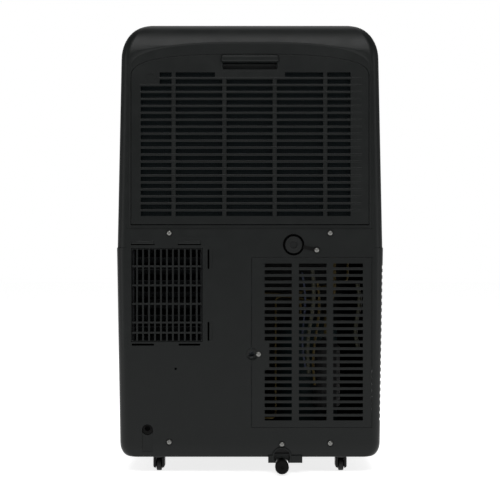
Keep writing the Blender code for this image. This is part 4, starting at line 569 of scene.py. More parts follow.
def casingSkin(name):
    levels = casingLevels()
    height, half, rear, front = levels[0]
    letGo()
    bpy.ops.mesh.primitive_plane_add(size=1, location=(0, (rear + front) / 2, height))
    skin = takeNew(name, (2 * half, rear - front, 1))
    pickPoints(skin, lambda spot: spot.y > 0)
    bpy.ops.mesh.bevel(offset=casing["rearCorner"], segments=9, affect="VERTICES")
    pickPoints(skin, lambda spot: spot.y < 0 and spot.y < front + 0.001)
    bpy.ops.mesh.bevel(offset=casing["frontCorner"], segments=16, affect="VERTICES")
    pickPoints(skin, lambda spot: spot.y < front + 0.00001)
    bpy.ops.mesh.subdivide(number_cuts=11)
    bpy.ops.object.mode_set(mode="OBJECT")
    middle = front + casing["frontCorner"]
    for point in skin.data.vertices:
        if point.co.y < middle:
            fade = min(1.0, (middle - point.co.y) / casing["bowFade"])
            point.co.y += casing["bow"] * (point.co.x / half) ** 2 * fade
    hold(skin)
    bpy.ops.object.mode_set(mode="EDIT")
    bpy.ops.mesh.select_mode(type="FACE")
    bpy.ops.mesh.select_all(action="SELECT")
    for nextHeight, nextHalf, nextRear, nextFront in levels[1:]:
        bpy.ops.mesh.extrude_region_move(TRANSFORM_OT_translate={"value": (0, 0, nextHeight - height)})
        across = nextHalf / half
        deep = (nextRear - nextFront) / (rear - front)
        bpy.ops.transform.resize(value=(across, deep, 1), center_override=(0, rear, nextHeight))
        bpy.ops.transform.translate(value=(0, nextRear - rear, 0))
        height, half, rear, front = nextHeight, nextHalf, nextRear, nextFront
    bpy.ops.mesh.select_all(action="SELECT")
    bpy.ops.mesh.normals_make_consistent(inside=False)
    bpy.ops.object.mode_set(mode="OBJECT")
    floor = casing["underside"]
    pickFaces(skin, lambda face: face.normal.z < -0.99 and face.center.z < floor + 0.001)
    bpy.ops.mesh.delete(type="FACE")
    bpy.ops.object.mode_set(mode="OBJECT")
    return skin


def giveWall(skin, thickness):
    wall = skin.modifiers.new("wall", "SOLIDIFY")
    wall.thickness = thickness
    wall.offset = -1
    wall.use_even_offset = True
    applyLast(skin)
    return skin


def archBlock(name, half, low, spring, crown, nearY, farY, steps=96):
    # straight sides up to the spring line, then a flattened arch
    letGo()
    bpy.ops.mesh.primitive_cylinder_add(vertices=steps, radius=1, depth=1, rotation=(math.pi / 2, 0, 0))
    thing = takeNew(name)
    bend = 2 / casing["archPower"]
    for point in thing.data.vertices:
        across, up = point.co.x, point.co.z
        if up > 0:
            x = half * math.copysign(abs(across) ** bend, across)
            z = spring + (crown - spring) * up ** bend
        elif abs(across) >= abs(up):
            x = math.copysign(half, across)
            z = spring - (spring - low) * abs(up / across)
        else:
            x = half * across / abs(up)
            z = low
        point.co = (x, farY if point.co.y > 0 else nearY, z)
    return thing


def recessCutter():
    recess = rearRecess
    floorY = rearFace - recess["depth"]
    sizes = [recess[key] for key in ("half", "low", "spring", "crown")]
    cutter = archBlock("recess", *sizes, floorY, rearFace)
    pickFaces(cutter, lambda face: face.normal.y > 0.9)
    middle = (0, 0, recess["low"])
    bpy.ops.transform.translate(value=(0, recess["lip"] - recess["depth"], 0))
    half, rise = recess["half"], recess["lip"]
    for nextRise, grow in recess["rim"]:
        bpy.ops.mesh.extrude_region_move(TRANSFORM_OT_translate={"value": (0, nextRise - rise, 0)})
        share = (recess["half"] + grow) / half
        bpy.ops.transform.resize(value=(share, 1, share), center_override=middle)
        half, rise = recess["half"] + grow, nextRise
    bpy.ops.object.mode_set(mode="OBJECT")
    return cutter


rearRecess = {
    "half": 0.2048,
    "low": 0.4200,
    "spring": top - 0.0810,
    "crown": top - 0.0340,
    "depth": 0.0030,
    "lip": 0.0003,
    "rim": (
        (0.0011, 0.0010),
        (0.0018, 0.0024),
        (0.0024, 0.0046),
        (0.0028, 0.0074),
        (0.0030, 0.0106),
        (0.0120, 0.1750),
    ),
    "backingLap": 0.0030,
    "frameSpringDrop": 0.0100,
    "wall": 0.0030,
}
rearOpenings = {
    "hoseSlots": ((0.0850, 0.1220), (0.1640, 0.2020)),
    "hoseSlotHeight": 0.0035,
    "hoseSlotDrop": 0.0070,
    "hoseTabHeight": 0.0060,
    "hoseTabProud": 0.0016,
    "hoseTabSlot": 0.0016,
    "hoseTabLap": (0.0015, 0.0004),
    "hoseTabLift": 0.0076,
    "sideSlots": ((0.2290, 0.2610), (0.3520, 0.3850)),
    "sideSlotReach": (0.0640, 0.0725),
    "sideSlotGap": 0.0030,
    "sideSlotSink": 0.0014,
    "vent": (0.1270, 0.1810),
    "blankPlate": ((0.0490, 0.4070), (0.1200, 0.4190)),
    "fingerAt": (rearFace + 0.00936, 0.2060),
    "fingerRadius": 0.01365,
    "wellRadius": 0.0184,
    "wellDepth": 0.0130,
    "cupWall": 0.0020,
    "collarRadius": 0.0165,
    "archRadius": 0.0140,
    "collarHeight": 0.0310,
    "collarBack": 0.0120,
    "collarSink": 0.0080,
    "nozzleHole": 0.0091,
    "plugHole": 0.0128,
    "ventRadius": 0.0020,
    "screwHole": 0.0022,
    "plateSink": 0.0005,
    "sillGap": 0.0016,
    "trim": 0.0003,
    "counterbore": (0.0062, 0.0013),
    "bracket": ((-0.0895, 0.0200), (-0.0310, 0.0330)),
    "channel": (0.0390, 0.0015),
    "louvres": 24,
    "louvrePitch": 0.01137,
    "louvreSlot": 0.0060,
    "louvreLow": 0.0900,
    "louvreReach": (0.0150, 0.1350),
    "grooveDepth": 0.0016,
    "grooveGap": 0.0040,
}
handle = {
    "reach": (0.0200, 0.1300),
    "low": top - 0.0810,
    "height": 0.0180,
    "depth": 0.0300,
    "wall": 0.0025,
}
drain = middleOf("drain_cap")
spout = middleOf("lower_drain_plug")
screwNames = [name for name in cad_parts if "screw" in name]


def throughRear(low, high, edge=0.0):
    return block("opening", (low[0], rearFace - past, low[1]), (high[0], rearFace + past, high[1]), edge)


def handleBox(side, wall):
    outside = halfWidth(handle["low"])
    near = outside - casing["wall"] / 2 if wall else outside + past
    far = outside - handle["depth"] - wall
    xs = sorted((side * near, side * far))
    lows = (xs[0], handle["reach"][0] - wall, handle["low"] - wall)
    highs = (xs[1], handle["reach"][1] + wall, handle["low"] + handle["height"] + wall)
    return block("handle", lows, highs, 0.003 if wall == 0 else 0.0, 3)


def ball(name, place, radius):
    letGo()
    bpy.ops.mesh.primitive_uv_sphere_add(segments=48, ring_count=24, radius=radius, location=place)
    return takeNew(name)


def glandForm(extra, nearY, farY):
    # straight below, half round above
    low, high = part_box("cord_gland")
    radius = (high.x - low.x) / 2
    x, z = (low.x + high.x) / 2, high.z - radius
    form = rodBetween("gland", (x, nearY, z), (x, farY, z), radius + extra, 48)
    return weldOn(form, block("foot", (low.x - extra, nearY, low.z - extra), (high.x + extra, farY, z)))


def rearCover():
    wall, seam = casing["wall"], casing["seam"]
    cover = keepSide(casingSkin("rearCover"), (0, casing["seamY"] + seam / 2, 0), (0, 1, 0))
    giveWall(cover, wall)
    recess, made = rearRecess, rearOpenings
    floorY, lap = rearFace - recess["depth"], recess["backingLap"]
    backing = archBlock(
        "backing",
        recess["half"] + lap,
        recess["low"] - lap,
        recess["spring"],
        recess["crown"] + lap,
        floorY - recess["wall"],
        rearFace - skinLap,
    )
    x, z = drain.x, drain.z
    wellY = rearFace - made["wellDepth"]
    cupRadius = made["wellRadius"] + made["cupWall"]
    cup = boreRear("cup", x, z, cupRadius, wellY - made["cupWall"], rearFace - wall / 2)
    collarRings = [
        (made["collarRadius"], 0.0),
        (made["collarRadius"], wall / 2 + 0.0012),
        (made["collarRadius"] - 0.0008, wall / 2 + 0.0020),
    ]
    collar = drawOut("collar", (spout.x, rearFace - wall / 2, made["collarHeight"]), toRear, collarRings)
    backY, frontY = rearFace - made["collarBack"], rearFace - skinLap
    collarZ = made["collarHeight"]
    backPlate = boreRear("backPlate", spout.x, collarZ, made["collarRadius"], backY, frontY, 48)
    (lowX, lowZ), (highX, highZ) = made["bracket"]
    bracket = block("bracket", (lowX, rearFace - wall, lowZ), (highX, rearFace, highZ), 0.0008)
    cups = [handleBox(side, handle["wall"]) for side in (1, -1)]
    weldOn(cover, backing, cup, *cups, backPlate, collar, bracket)
    slots = []
    deep, outY = rearFace - 4 * past, rearFace + past
    exhaustLow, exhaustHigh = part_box("exhaust_grille")
    for nearX, farX in made["hoseSlots"]:
        tabLow = exhaustHigh.z + made["hoseTabLift"]
        tabHigh = (farX, rearFace + made["hoseTabProud"], tabLow + made["hoseTabHeight"])
        weldOn(cover, block("tab", (nearX, rearFace - wall / 2, tabLow), tabHigh, 0.0012))
        under = made["hoseTabSlot"]
        over, lift = made["hoseTabLap"]
        slots.append(throughRear((nearX - over, tabLow - under), (farX + over, tabLow + lift), 0.0002))
        slotLow = exhaustLow.z - made["hoseSlotDrop"]
        slots.append(throughRear((nearX, slotLow), (farX, slotLow + made["hoseSlotHeight"]), 0.001))
    for lowZ, highZ in made["sideSlots"]:
        nearX, farX = made["sideSlotReach"]
        slots.append(throughRear((farX - made["sideSlotGap"], lowZ), (farX, highZ), 0.0008))
        lows = (nearX, rearFace - made["sideSlotSink"], lowZ)
        slots.append(block("pocket", lows, (farX, rearFace + past, highZ), 0.0008))
    fit = casing["seam"]
    fitAround = Vector((fit, fit, fit))
    low, high = exhaustLow - fitAround, exhaustHigh + fitAround
    slots.append(throughRear((low.x, low.z), (high.x, high.z)))
    glandLow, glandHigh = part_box("cord_gland")
    slots.append(glandForm(fit, rearFace - past, rearFace + past))
    run = 0.0005
    intakeLow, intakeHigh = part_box("intake_grille")
    screwSpot = middleOf("intake_screw")
    tab = 0.008
    lows = (intakeLow.x - run, rearFace - wall + fit, intakeLow.z - run)
    slots.append(block("seat", lows, (intakeHigh.x + run, rearFace + past, intakeHigh.z + run)))
    tabLeft = screwSpot.x - tab
    for low, high in (
        ((lows[0], lows[2]), (tabLeft, intakeHigh.z + run)),
        ((tabLeft - run, lows[2]), (intakeHigh.x + run, screwSpot.z - tab)),
        ((tabLeft - run, screwSpot.z + tab), (intakeHigh.x + run, intakeHigh.z + run)),
    ):
        slots.append(throughRear(low, high))
    filterLow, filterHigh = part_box("filter_frame")
    slots.append(recessCutter())
    slots.append(
        archBlock(
            "filterOpening",
            filterHigh.x + run,
            filterLow.z - made["sillGap"],
            recess["spring"] - recess["frameSpringDrop"],
            filterHigh.z + run,
            rearFace - 2 * past,
            outY,
        )
    )
    slots.append(boreRear("well", x, z, made["wellRadius"], wellY, outY, 64))
    slots.append(boreRear("nozzleHole", x, z, made["nozzleHole"], deep, rearFace))
    sunkY = rearFace - made["collarSink"]
    slots.append(boreRear("spoutHole", spout.x, collarZ, made["archRadius"], sunkY, outY, 48))
    slots.append(boreRear("plugHole", spout.x, spout.z, made["plugHole"], deep, outY, 48))
    (lowX, lowZ), (highX, highZ) = made["bracket"]
    lift = made["collarRadius"] * 2
    lows = (spout.x - lift, rearFace - 2 * past, 0)
    slots.append(block("below", lows, (spout.x + lift, outY, lowZ + made["trim"])))
    slots.append(boreRear("vent", *made["vent"], made["ventRadius"], deep, outY, 24))
    slots.append(ball("finger", (intakeHigh.x, *made["fingerAt"]), made["fingerRadius"]))
    lows = (glandLow.x - fit, rearFace - made["channel"][1], made["channel"][0])
    slots.append(block("channel", lows, (glandHigh.x + fit, rearFace + past, glandLow.z)))
    low, high = made["blankPlate"]
    lows = (low[0], rearFace - made["plateSink"], low[1])
    slots.append(block("plate", lows, (high[0], outY, high[1])))
    slots += [handleBox(1, 0.0), handleBox(-1, 0.0)]
    louvres = []
    for row in range(made["louvres"]):
        low = made["louvreLow"] + row * made["louvrePitch"]
        near, far = made["louvreReach"]
        lows = (-casing["waistHalf"] - past, near, low)
        high = low + made["louvreSlot"]
        louvres.append(block("louvre", lows, (-casing["footHalf"] + 2 * wall, far, high)))
        half = halfWidth(low) - made["grooveDepth"]
        lows = (-casing["waistHalf"] - past, far + made["grooveGap"], low)
        louvres.append(block("groove", lows, (-half, rearFace - made["grooveGap"], high), 0.0008))
    slots.append(joinUp("louvres", louvres))
    for name in screwNames:
        spot = middleOf(name)
        if name != "intake_screw":
            slots.append(boreRear("hole", spot.x, spot.z, made["screwHole"], deep, outY, 20))
            radius, sink = made["counterbore"]
            slots.append(boreRear("ring", spot.x, spot.z, radius, rearFace - sink, outY, 40))
    cutAway(cover, *slots)
    finishPiece(cover, "casing", casingPlastic, ["rear_cover"], 32)


outlet = {
    "half": 0.1500,
    "back": -0.1300,
    "clear": 0.0015,
    "skin": 0.0025,
    "lap": 0.0004,
    "brow": 0.0030,
    "browSink": 0.0012,
}


def frontPanel():
    wall, seam = casing["wall"], casing["seam"]
    panel = keepSide(casingSkin("frontPanel"), (0, casing["seamY"] - seam / 2, 0), (0, -1, 0))
    topSeam = top - casing["topSeamDrop"]
    keepSide(panel, (0, 0, topSeam - seam / 2), (0, 0, -1))
    giveWall(panel, wall)
    face = casing["frontFace"]
    half, back, clear = outlet["half"], outlet["back"], outlet["clear"]
    lowZ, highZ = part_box("air_flap")[0].z - clear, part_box("air_flap")[1].z + clear
    skin, edge = outlet["skin"], outlet["brow"]
    nearY = face + wall - outlet["lap"]
    tunnel = block("tunnel", (-half - skin, nearY, lowZ - skin), (half + skin, back, highZ + skin))
    weldOn(panel, tunnel)
    hollow = block("hollow", (-half, face - past, lowZ), (half, back + past, highZ))
    lows = (-half - edge, face - past, lowZ - edge)
    brow = block("brow", lows, (half + edge, face + outlet["browSink"], highZ + edge), 0.001)
    cutAway(panel, hollow, brow)
    finishPiece(panel, "casing", casingPlastic, ["front_panel"], 32)


panelSeat = {"ledge": 0.0030, "pad": 0.0088, "hollow": 0.0200}


def topCover():
    wall, seam = casing["wall"], casing["seam"]
    cover = keepSide(casingSkin("topCover"), (0, casing["seamY"] - seam / 2, 0), (0, -1, 0))
    keepSide(cover, (0, 0, top - casing["topSeamDrop"] + seam / 2), (0, 0, 1))
    giveWall(cover, wall)
    low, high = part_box("control_panel")
    gap, ledge = casing["seam"], panelSeat["ledge"]

    def around(name, grow, lowZ, highZ):
        lows = (low.x - grow, low.y - grow, lowZ)
        return block(name, lows, (high.x + grow, high.y + grow, highZ))

    weldOn(cover, around("pad", ledge + gap, top - panelSeat["pad"], top - wall / 2))
    seat = around("seat", gap, low.z - gap, top + past)
    hollow = around("hollow", -ledge, top - panelSeat["hollow"], top + past)
    cutAway(cover, seat, hollow)
    finishPiece(cover, "casing", casingPlastic, ["top_cover"], 32)


rearCover()
frontPanel()
topCover()
print("casing moulded")


def refined(node, body, look, edge=0.0004, steps=2, angle=30):
    # the solid itself, cleaned of its triangles and with its edges broken
    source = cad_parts[node]
    made = source.copy()
    made.data = source.data.copy()
    made.name = node + "Made"
    bpy.context.scene.collection.objects.link(made)
    made.parent = None
    hold(made)
    bpy.ops.object.mode_set(mode="EDIT")
    bpy.ops.mesh.select_all(action="SELECT")
    bpy.ops.mesh.remove_doubles(threshold=0.00001)
    bpy.ops.mesh.dissolve_limited(angle_limit=math.radians(1.5))
    bpy.ops.object.mode_set(mode="OBJECT")
    if edge:
        softenEdges(made, edge, steps, angle)
    return finishPiece(made, body, look, [node])


def dress(look, *nodes):
    for node in nodes:
        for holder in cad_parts[node].material_slots:
            holder.material = look.material


# intake filter frame in the recess

filterFrame = {
    "pitch": 0.0119,
    "slot": 0.0079,
    "rows": 21,
    "highest": top - 0.0830,
    "reach": (-0.1721, 0.1870),
    "shortReach": 0.1547,
    "shortRows": 2,
    "mullions": (-0.1287, -0.0422, 0.0439, 0.1308),
    "mullionWidth": 0.0074,
    "ridge": 0.0004,
    "ridgeEnd": -0.1920,
    "pullGap": 0.0600,
    "pull": ((-0.0470, top - 0.0780), (0.0470, top - 0.0660)),
    "pullDepth": 0.0150,
    "pullSeat": (0.0040, 0.0030, 0.0070, 0.0008),
    "cupWall": 0.0018,
    "lap": 0.0020,
    "thick": 0.0040,
    "barDepth": 0.0030,
    "lip": ((-0.0495, top - 0.0656), (0.0495, top - 0.0530)),
    "lipProud": 0.0045,
    "badge": (0.1695, top - 0.0930, 0.0095),
}


def filterFrameMade():
    made = filterFrame
    low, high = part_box("filter_frame")
    face, back = high.y, high.y - made["thick"]
    spring = rearRecess["spring"] - rearRecess["frameSpringDrop"]
    plate = archBlock("filterFrame", high.x, low.z, spring, high.z, back, face)
    softenEdges(plate, 0.0007, 2, 50)
    lowest = made["highest"] - (made["rows"] - 1) * made["pitch"] - made["slot"]
    left, right = made["reach"]
    short = made["shortReach"]
    secondRow = made["highest"] - made["pitch"]
    thirdRow = made["highest"] - made["shortRows"] * made["pitch"]
    fields = (
        ((left, lowest), (short, secondRow)),
        ((short - 0.001, lowest), (right, thirdRow)),
        ((left, secondRow - 0.001), (-made["pullGap"], made["highest"])),
        ((made["pullGap"], secondRow - 0.001), (short, made["highest"])),
    )
    (lowX, lowZ), (highX, highZ) = made["pull"]
    wall, cupY = made["cupWall"], face - made["pullDepth"]
    lows = (lowX - wall, cupY - wall, lowZ - wall)
    weldOn(plate, block("cup", lows, (highX + wall, face - skinLap, highZ + wall)))
    cutters = [block("field", (a[0], back - past, a[1]), (b[0], face + past, b[1])) for a, b in fields]
    cutters.append(block("pull", (lowX, cupY, lowZ), (highX, face + past, highZ), 0.0025, 3))
    side, below, above, sink = made["pullSeat"]
    lows = (lowX - side, face - sink, lowZ - below)
    cutters.append(block("pullSeat", lows, (highX + side, face + past, highZ + above), 0.0004))
    (lowX, lowZ), (highX, highZ) = made["lip"]
    lip = block("lip", (lowX, face - 0.001, lowZ), (highX, face + made["lipProud"], highZ), 0.0036, 5)
    weldOn(cutAway(plate, *cutters), lip)
    bars = []
    web = made["pitch"] - made["slot"]
    for row in range(1, made["rows"]):
        z = made["highest"] - row * made["pitch"]
        end = short if row < made["shortRows"] else right
        inner = face - made["barDepth"]
        highs = (end + made["lap"], face + made["ridge"], z + web)
        bars.append(block("bar", (made["ridgeEnd"], inner, z), highs, 0.0008))
    half = made["mullionWidth"] / 2
    for x in made["mullions"]:
        lows = (x - half, back + 0.0006, lowest - made["lap"])
        bars.append(block("mullion", lows, (x + half, face - 0.0002, made["highest"] + made["lap"]), 0.0008))
    x, z, radius = made["badge"]
    rings = [(radius, 0.0), (radius, 0.0013), (radius - 0.0004, 0.0016)]
    boss = drawOut("boss", (x, face - skinLap, z), toRear, rings)
    cutAway(boss, boreRear("inside", x, z, radius - 0.0020, face - past, face + past, 40))
    bars.append(boss)
    frameMade = joinUp("filterFrame", [plate] + bars)
    finishPiece(frameMade, "filter", casingPlastic, ["filter_frame"], 40)


filterFrameMade()
dress(netting, "filter_mesh")
print("filter frame hung")

# lower intake door and the exhaust grille

intakeDoor = {
    "pitch": 0.01137,
    "slot": 0.0066,
    "rows": 24,
    "highest": 0.3610,
    "columns": ((-0.1928, -0.1420), (-0.1308, -0.0835), (-0.0714, -0.0250)),
    "shortEnd": -0.0329,
    "shortRows": (12, 16),
    "lap": 0.0010,
    "barSink": 0.0002,
    "screwHole": 0.0024,
    "fingerAt": (rearFace + 0.0094, 0.2060),
    "fingerRadius": 0.0136,
}


def intakeDoorMade():
    made = intakeDoor
    low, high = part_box("intake_grille")
    door = block("intakeDoor", low, high, 0.0007)
    lowest = made["highest"] - (made["rows"] - 1) * made["pitch"] - made["slot"]
    web = made["pitch"] - made["slot"]
    first, last = made["shortRows"]
    shortLow = made["highest"] - (last - 1) * made["pitch"] - made["slot"]
    shortHigh = made["highest"] - first * made["pitch"]
    cutters, bars = [], []
    inY, outY = low.y - past, high.y + past

    def field(left, right, bottom, ceiling):
        cutters.append(block("field", (left, inY, bottom), (right, outY, ceiling)))

    for left, right in made["columns"]:
        field(left, min(right, made["shortEnd"]), lowest, made["highest"])
        if right > made["shortEnd"]:
            for bottom, ceiling in ((lowest, shortLow - web), (shortHigh + web, made["highest"])):
                field(made["shortEnd"] - made["lap"], right, bottom, ceiling)
        for row in range(1, made["rows"]):
            z = made["highest"] - row * made["pitch"]
            lows = (left - made["lap"], low.y + made["barSink"], z)
            highs = (right + made["lap"], high.y - made["barSink"], z + web)
            bars.append(block("bar", lows, highs, 0.0007))
    spot = middleOf("intake_screw")
    cutters.append(boreRear("screwHole", spot.x, spot.z, made["screwHole"], inY, outY, 20))
    cutters.append(ball("finger", (high.x, *made["fingerAt"]), made["fingerRadius"]))
    cutAway(door, *cutters)
    door = joinUp("intakeDoor", [door] + bars)
    finishPiece(door, "intake_door", casingPlastic, ["intake_grille"], 40)


exhaustGrille = {
    "columns": 12,
    "bar": 0.0034,
    "rails": (0.2426, 0.2600, 0.2920, 0.3235, 0.3560),
    "railHeight": 0.0032,
    "rim": 0.0009,
    "lap": 0.0010,
    "ductBars": 8,
    "ductReach": (0.0300, 0.0120),
    "ductLean": 28,
}


def exhaustGrilleMade():
    made = exhaustGrille
    low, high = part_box("exhaust_grille")
    grille = block("exhaustGrille", low, high - toRear * 0.0006, 0.0003)
    rim, lap = made["rim"], made["lap"]
    hole = ((low.x + rim, low.y - past, low.z + rim), (high.x - rim, high.y + past, high.z - rim))
    cutAway(grille, block("hole", *hole, 0.003))
    bars = []
    step = (high.x - low.x - 2 * rim + made["bar"]) / made["columns"]
    for column in range(1, made["columns"]):
        x = low.x + rim + column * step - made["bar"]
        lows = (x, low.y + 0.0002, low.z + lap)
        bars.append(block("bar", lows, (x + made["bar"], high.y - 0.0003, high.z - lap), 0.0009))
    half = made["railHeight"] / 2
    for z in made["rails"]:
        lows = (low.x + lap, low.y + 0.0010, z - half)
        bars.append(block("rail", lows, (high.x - lap, high.y - 0.0009, z + half), 0.0007))
    grille = joinUp("exhaustGrille", [grille] + bars)
    finishPiece(grille, "casing", casingPlastic, ["exhaust_grille"], 40)
    ductBars = []
    far, near = made["ductReach"]
    for step in range(1, made["ductBars"]):
        z = low.z + step * (high.z - low.z) / made["ductBars"]
        lows = (low.x + 4 * lap, low.y - far, z - lap)
        bar = block("ductBar", lows, (high.x - 4 * lap, low.y - near, z + lap), 0.0004)
        turnAbout(bar, math.radians(made["ductLean"]), "X", (0, low.y - (far + near) / 2, z))
        ductBars.append(bar)
    finishPiece(joinUp("ductBars", ductBars), "casing", innerPlastic)


intakeDoorMade()
exhaustGrilleMade()
print("grilles cut")

# fastenings

screw = {
    "head": 0.0043,
    "shank": 0.0019,
    "shankLength": 0.0070,
    "dome": 0.0032,
    "slotWidth": 0.0011,
    "slotReach": 0.0024,
    "slotDepth": 0.0017,
    "sink": 0.0002,
    "firstTurn": 17,
    "nextTurn": 41,
}


def panHead():
    made = screw
    size, dome = made["head"], made["dome"]
    rings = [
        (made["shank"], -made["shankLength"]),
        (made["shank"], 0.0),
        (size, 0.0),
        (size, dome * 0.35),
        (size * 0.94, dome * 0.62),
        (size * 0.78, dome * 0.86),
        (size * 0.5, dome),
    ]
    head = drawOut("panHead", (0, 0, 0), toRear, rings, 40)
    reach, half, depth = made["slotReach"], made["slotWidth"] / 2, made["slotDepth"]
    cross = [
        block("slot", (-reach, dome - depth, -half), (reach, dome + depth, half)),
        block("slot", (-half, dome - depth, -reach), (half, dome + depth, reach)),
    ]
    cutAway(head, *cross)
    return head


screwBodies = {"intake_screw": "intake_door"}
headMade = panHead()
for turn, name in enumerate(sorted(screwNames)):
    low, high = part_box(name)
    spot = (low + high) / 2
    seatY = high.y - screw["dome"] - screw["sink"]
    fastener = copyOf(headMade, name + "Made", (spot.x, seatY, spot.z))
    angle = math.radians(screw["firstTurn"] + screw["nextTurn"] * turn)
    turnAbout(fastener, angle, "Y", (spot.x, high.y, spot.z))
    finishPiece(fastener, screwBodies.get(name, "casing"), zinc, [name], 40)
bpy.data.objects.remove(headMade)

# upper drain: cap with its grips, tether, gasket and the nozzle behind

drainCap = {
    "grips": 20,
    "gripRadius": 0.0009,
    "gripDepth": 0.0040,
    "hollow": 0.0062,
    "hollowDepth": 0.0020,
    "linerBore": 0.0122,
    "linerWall": 0.0006,
    "linerHeight": 0.0095,
}


def drainCapMade():
    cap = refined("drain_cap", "cap", capRubber, 0.0006)
    low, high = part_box("drain_cap")
    spot = (low + high) / 2
    radius = (high.x - low.x) / 2
    made, outY = drainCap, high.y + past
    grips = []
    for step in range(made["grips"]):
        angle = math.tau * step / made["grips"]
        x, z = spot.x + radius * math.cos(angle), spot.z + radius * math.sin(angle)
        grips.append(boreRear("grip", x, z, made["gripRadius"], high.y - made["gripDepth"], outY, 10))
    hollowY = high.y - made["hollowDepth"]
    hollow = boreRear("hollow", spot.x, spot.z, made["hollow"], hollowY, outY, 40)
    cutAway(cap, joinUp("grips", grips), hollow)
    hold(cap)
    bpy.ops.object.shade_smooth_by_angle(angle=math.radians(35))


def wellShadeLiner():
    # a black cup that lines the well: a dark piece put in as painted shade, darkening the gap around the cap
    well, thick = rearOpenings["wellRadius"] - 0.0002, drainCap["linerWall"]
    x, y, z = drain.x, rearFace - rearOpenings["wellDepth"] + 0.0001, drain.z
    rings = [(well, 0.0), (well, drainCap["linerHeight"])]
    liner = drawOut("wellShadeLiner", (x, y, z), toRear, rings, 64)
    hollow = boreRear("hollow", x, z, well - thick, y + thick, y + 2 * past, 64)
    hole = boreRear("hole", x, z, drainCap["linerBore"], y - past, y + past / 2, 48)
    cutAway(liner, hollow, hole)
    finishPiece(liner, "casing", rubber)


drainCapMade()
wellShadeLiner()
refined("drain_tether", "casing", rubber, 0.0004)
refined("drain_gasket", "gasket", rubber, 0.0003)
refined("upper_drain_nozzle", "casing", casingPlastic, 0.0003)
refined("lower_drain_plug", "plug", rubber, 0.0005)
refined("lower_drain_spout", "casing", casingPlastic, 0.0004)
glandLow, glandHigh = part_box("cord_gland")
glandSpot = middleOf("cord_gland")
glandSizes = {"slack": 0.0002, "sink": 0.0016, "eye": 0.0046, "eyeDepth": 0.0090}
gland = glandForm(-glandSizes["slack"], glandLow.y, glandHigh.y - glandSizes["sink"])
eyeY = glandHigh.y - glandSizes["eyeDepth"]
eye = boreRear("eye", glandSpot.x, glandSpot.z, glandSizes["eye"], eyeY, glandHigh.y + past)
cutAway(gland, eye)
finishPiece(gland, "casing", rubber, ["cord_gland"])
print("fastenings and drains set")

# casters and base

caster = {
    "hoodHalf": 0.0098,
    "hoodReach": 0.0132,
    "hoodLow": 0.0060,
    "hoodTop": 0.0272,
    "wheelGap": 0.0056,
    "roof": 0.0252,
    "dish": ((0.0100, 0.0), (0.0138, 0.0038), (0.0138, 0.0048)),
}


def casterHood(corner):
    made = caster
    fork = refined("caster_fork_" + corner, "caster_fork_" + corner, darkPlastic, 0.0004)
    wheel = middleOf("caster_wheel_" + corner)
    pivot = middleOf("caster_fork_" + corner)
    half, reach, gap = made["hoodHalf"], made["hoodReach"], made["wheelGap"]
    lows = (wheel.x - half, wheel.y - reach, made["hoodLow"])
    hood = block("hood", lows, (wheel.x + half, wheel.y + reach, made["hoodTop"]), 0.0036, 4)
    lows = (wheel.x - gap, wheel.y - 2 * reach, 0)
    cutAway(hood, block("gap", lows, (wheel.x + gap, wheel.y + 2 * reach, made["roof"])))
    dish = drawOut("dish", (pivot.x, pivot.y, made["roof"] - 0.0005), upward, made["dish"])
    joined = joinUp(fork.name, [fork, hood, dish])
    joined.data.materials.clear()
    finishPiece(joined, "caster_fork_" + corner, darkPlastic, ["caster_fork_" + corner])


for corner in ("1", "2", "3", "4"):
    casterHood(corner)
    refined("caster_wheel_" + corner, "caster_wheel_" + corner, nylonTread, 0.0007, 3)
refined("base_pan", "casing", darkPlastic, 0.0006)

# air outlet

refined("air_flap", "flap", casingPlastic, 0.0008, 3)
refined("vane_link", "link", darkPlastic, 0.0002)
for place in ("1", "2", "3", "4"):
    refined("vane_" + place, "vane_" + place, darkPlastic, 0.0004)

# controls

controls = {
    "markRadius": 0.0026,
    "markLine": 0.0006,
    "markHeight": 0.00022,
    "dotRadius": 0.0007,
    "lampRadius": 0.0009,
    "lampInset": 0.0070,
    "glassHalf": 0.0220,
    "glassReach": (0.0265, 0.0115),
    "digitsAt": (-0.0070, 0.0018),
    "digitInset": 0.0145,
    "digitWidth": 0.0052,
    "digitHeight": 0.0090,
    "digitLine": 0.0009,
    "digitGap": 0.0001,
    "digitRise": 0.0003,
}


def mark(name, pieces, body):
    finishPiece(joinUp(name, pieces), body, markInk)


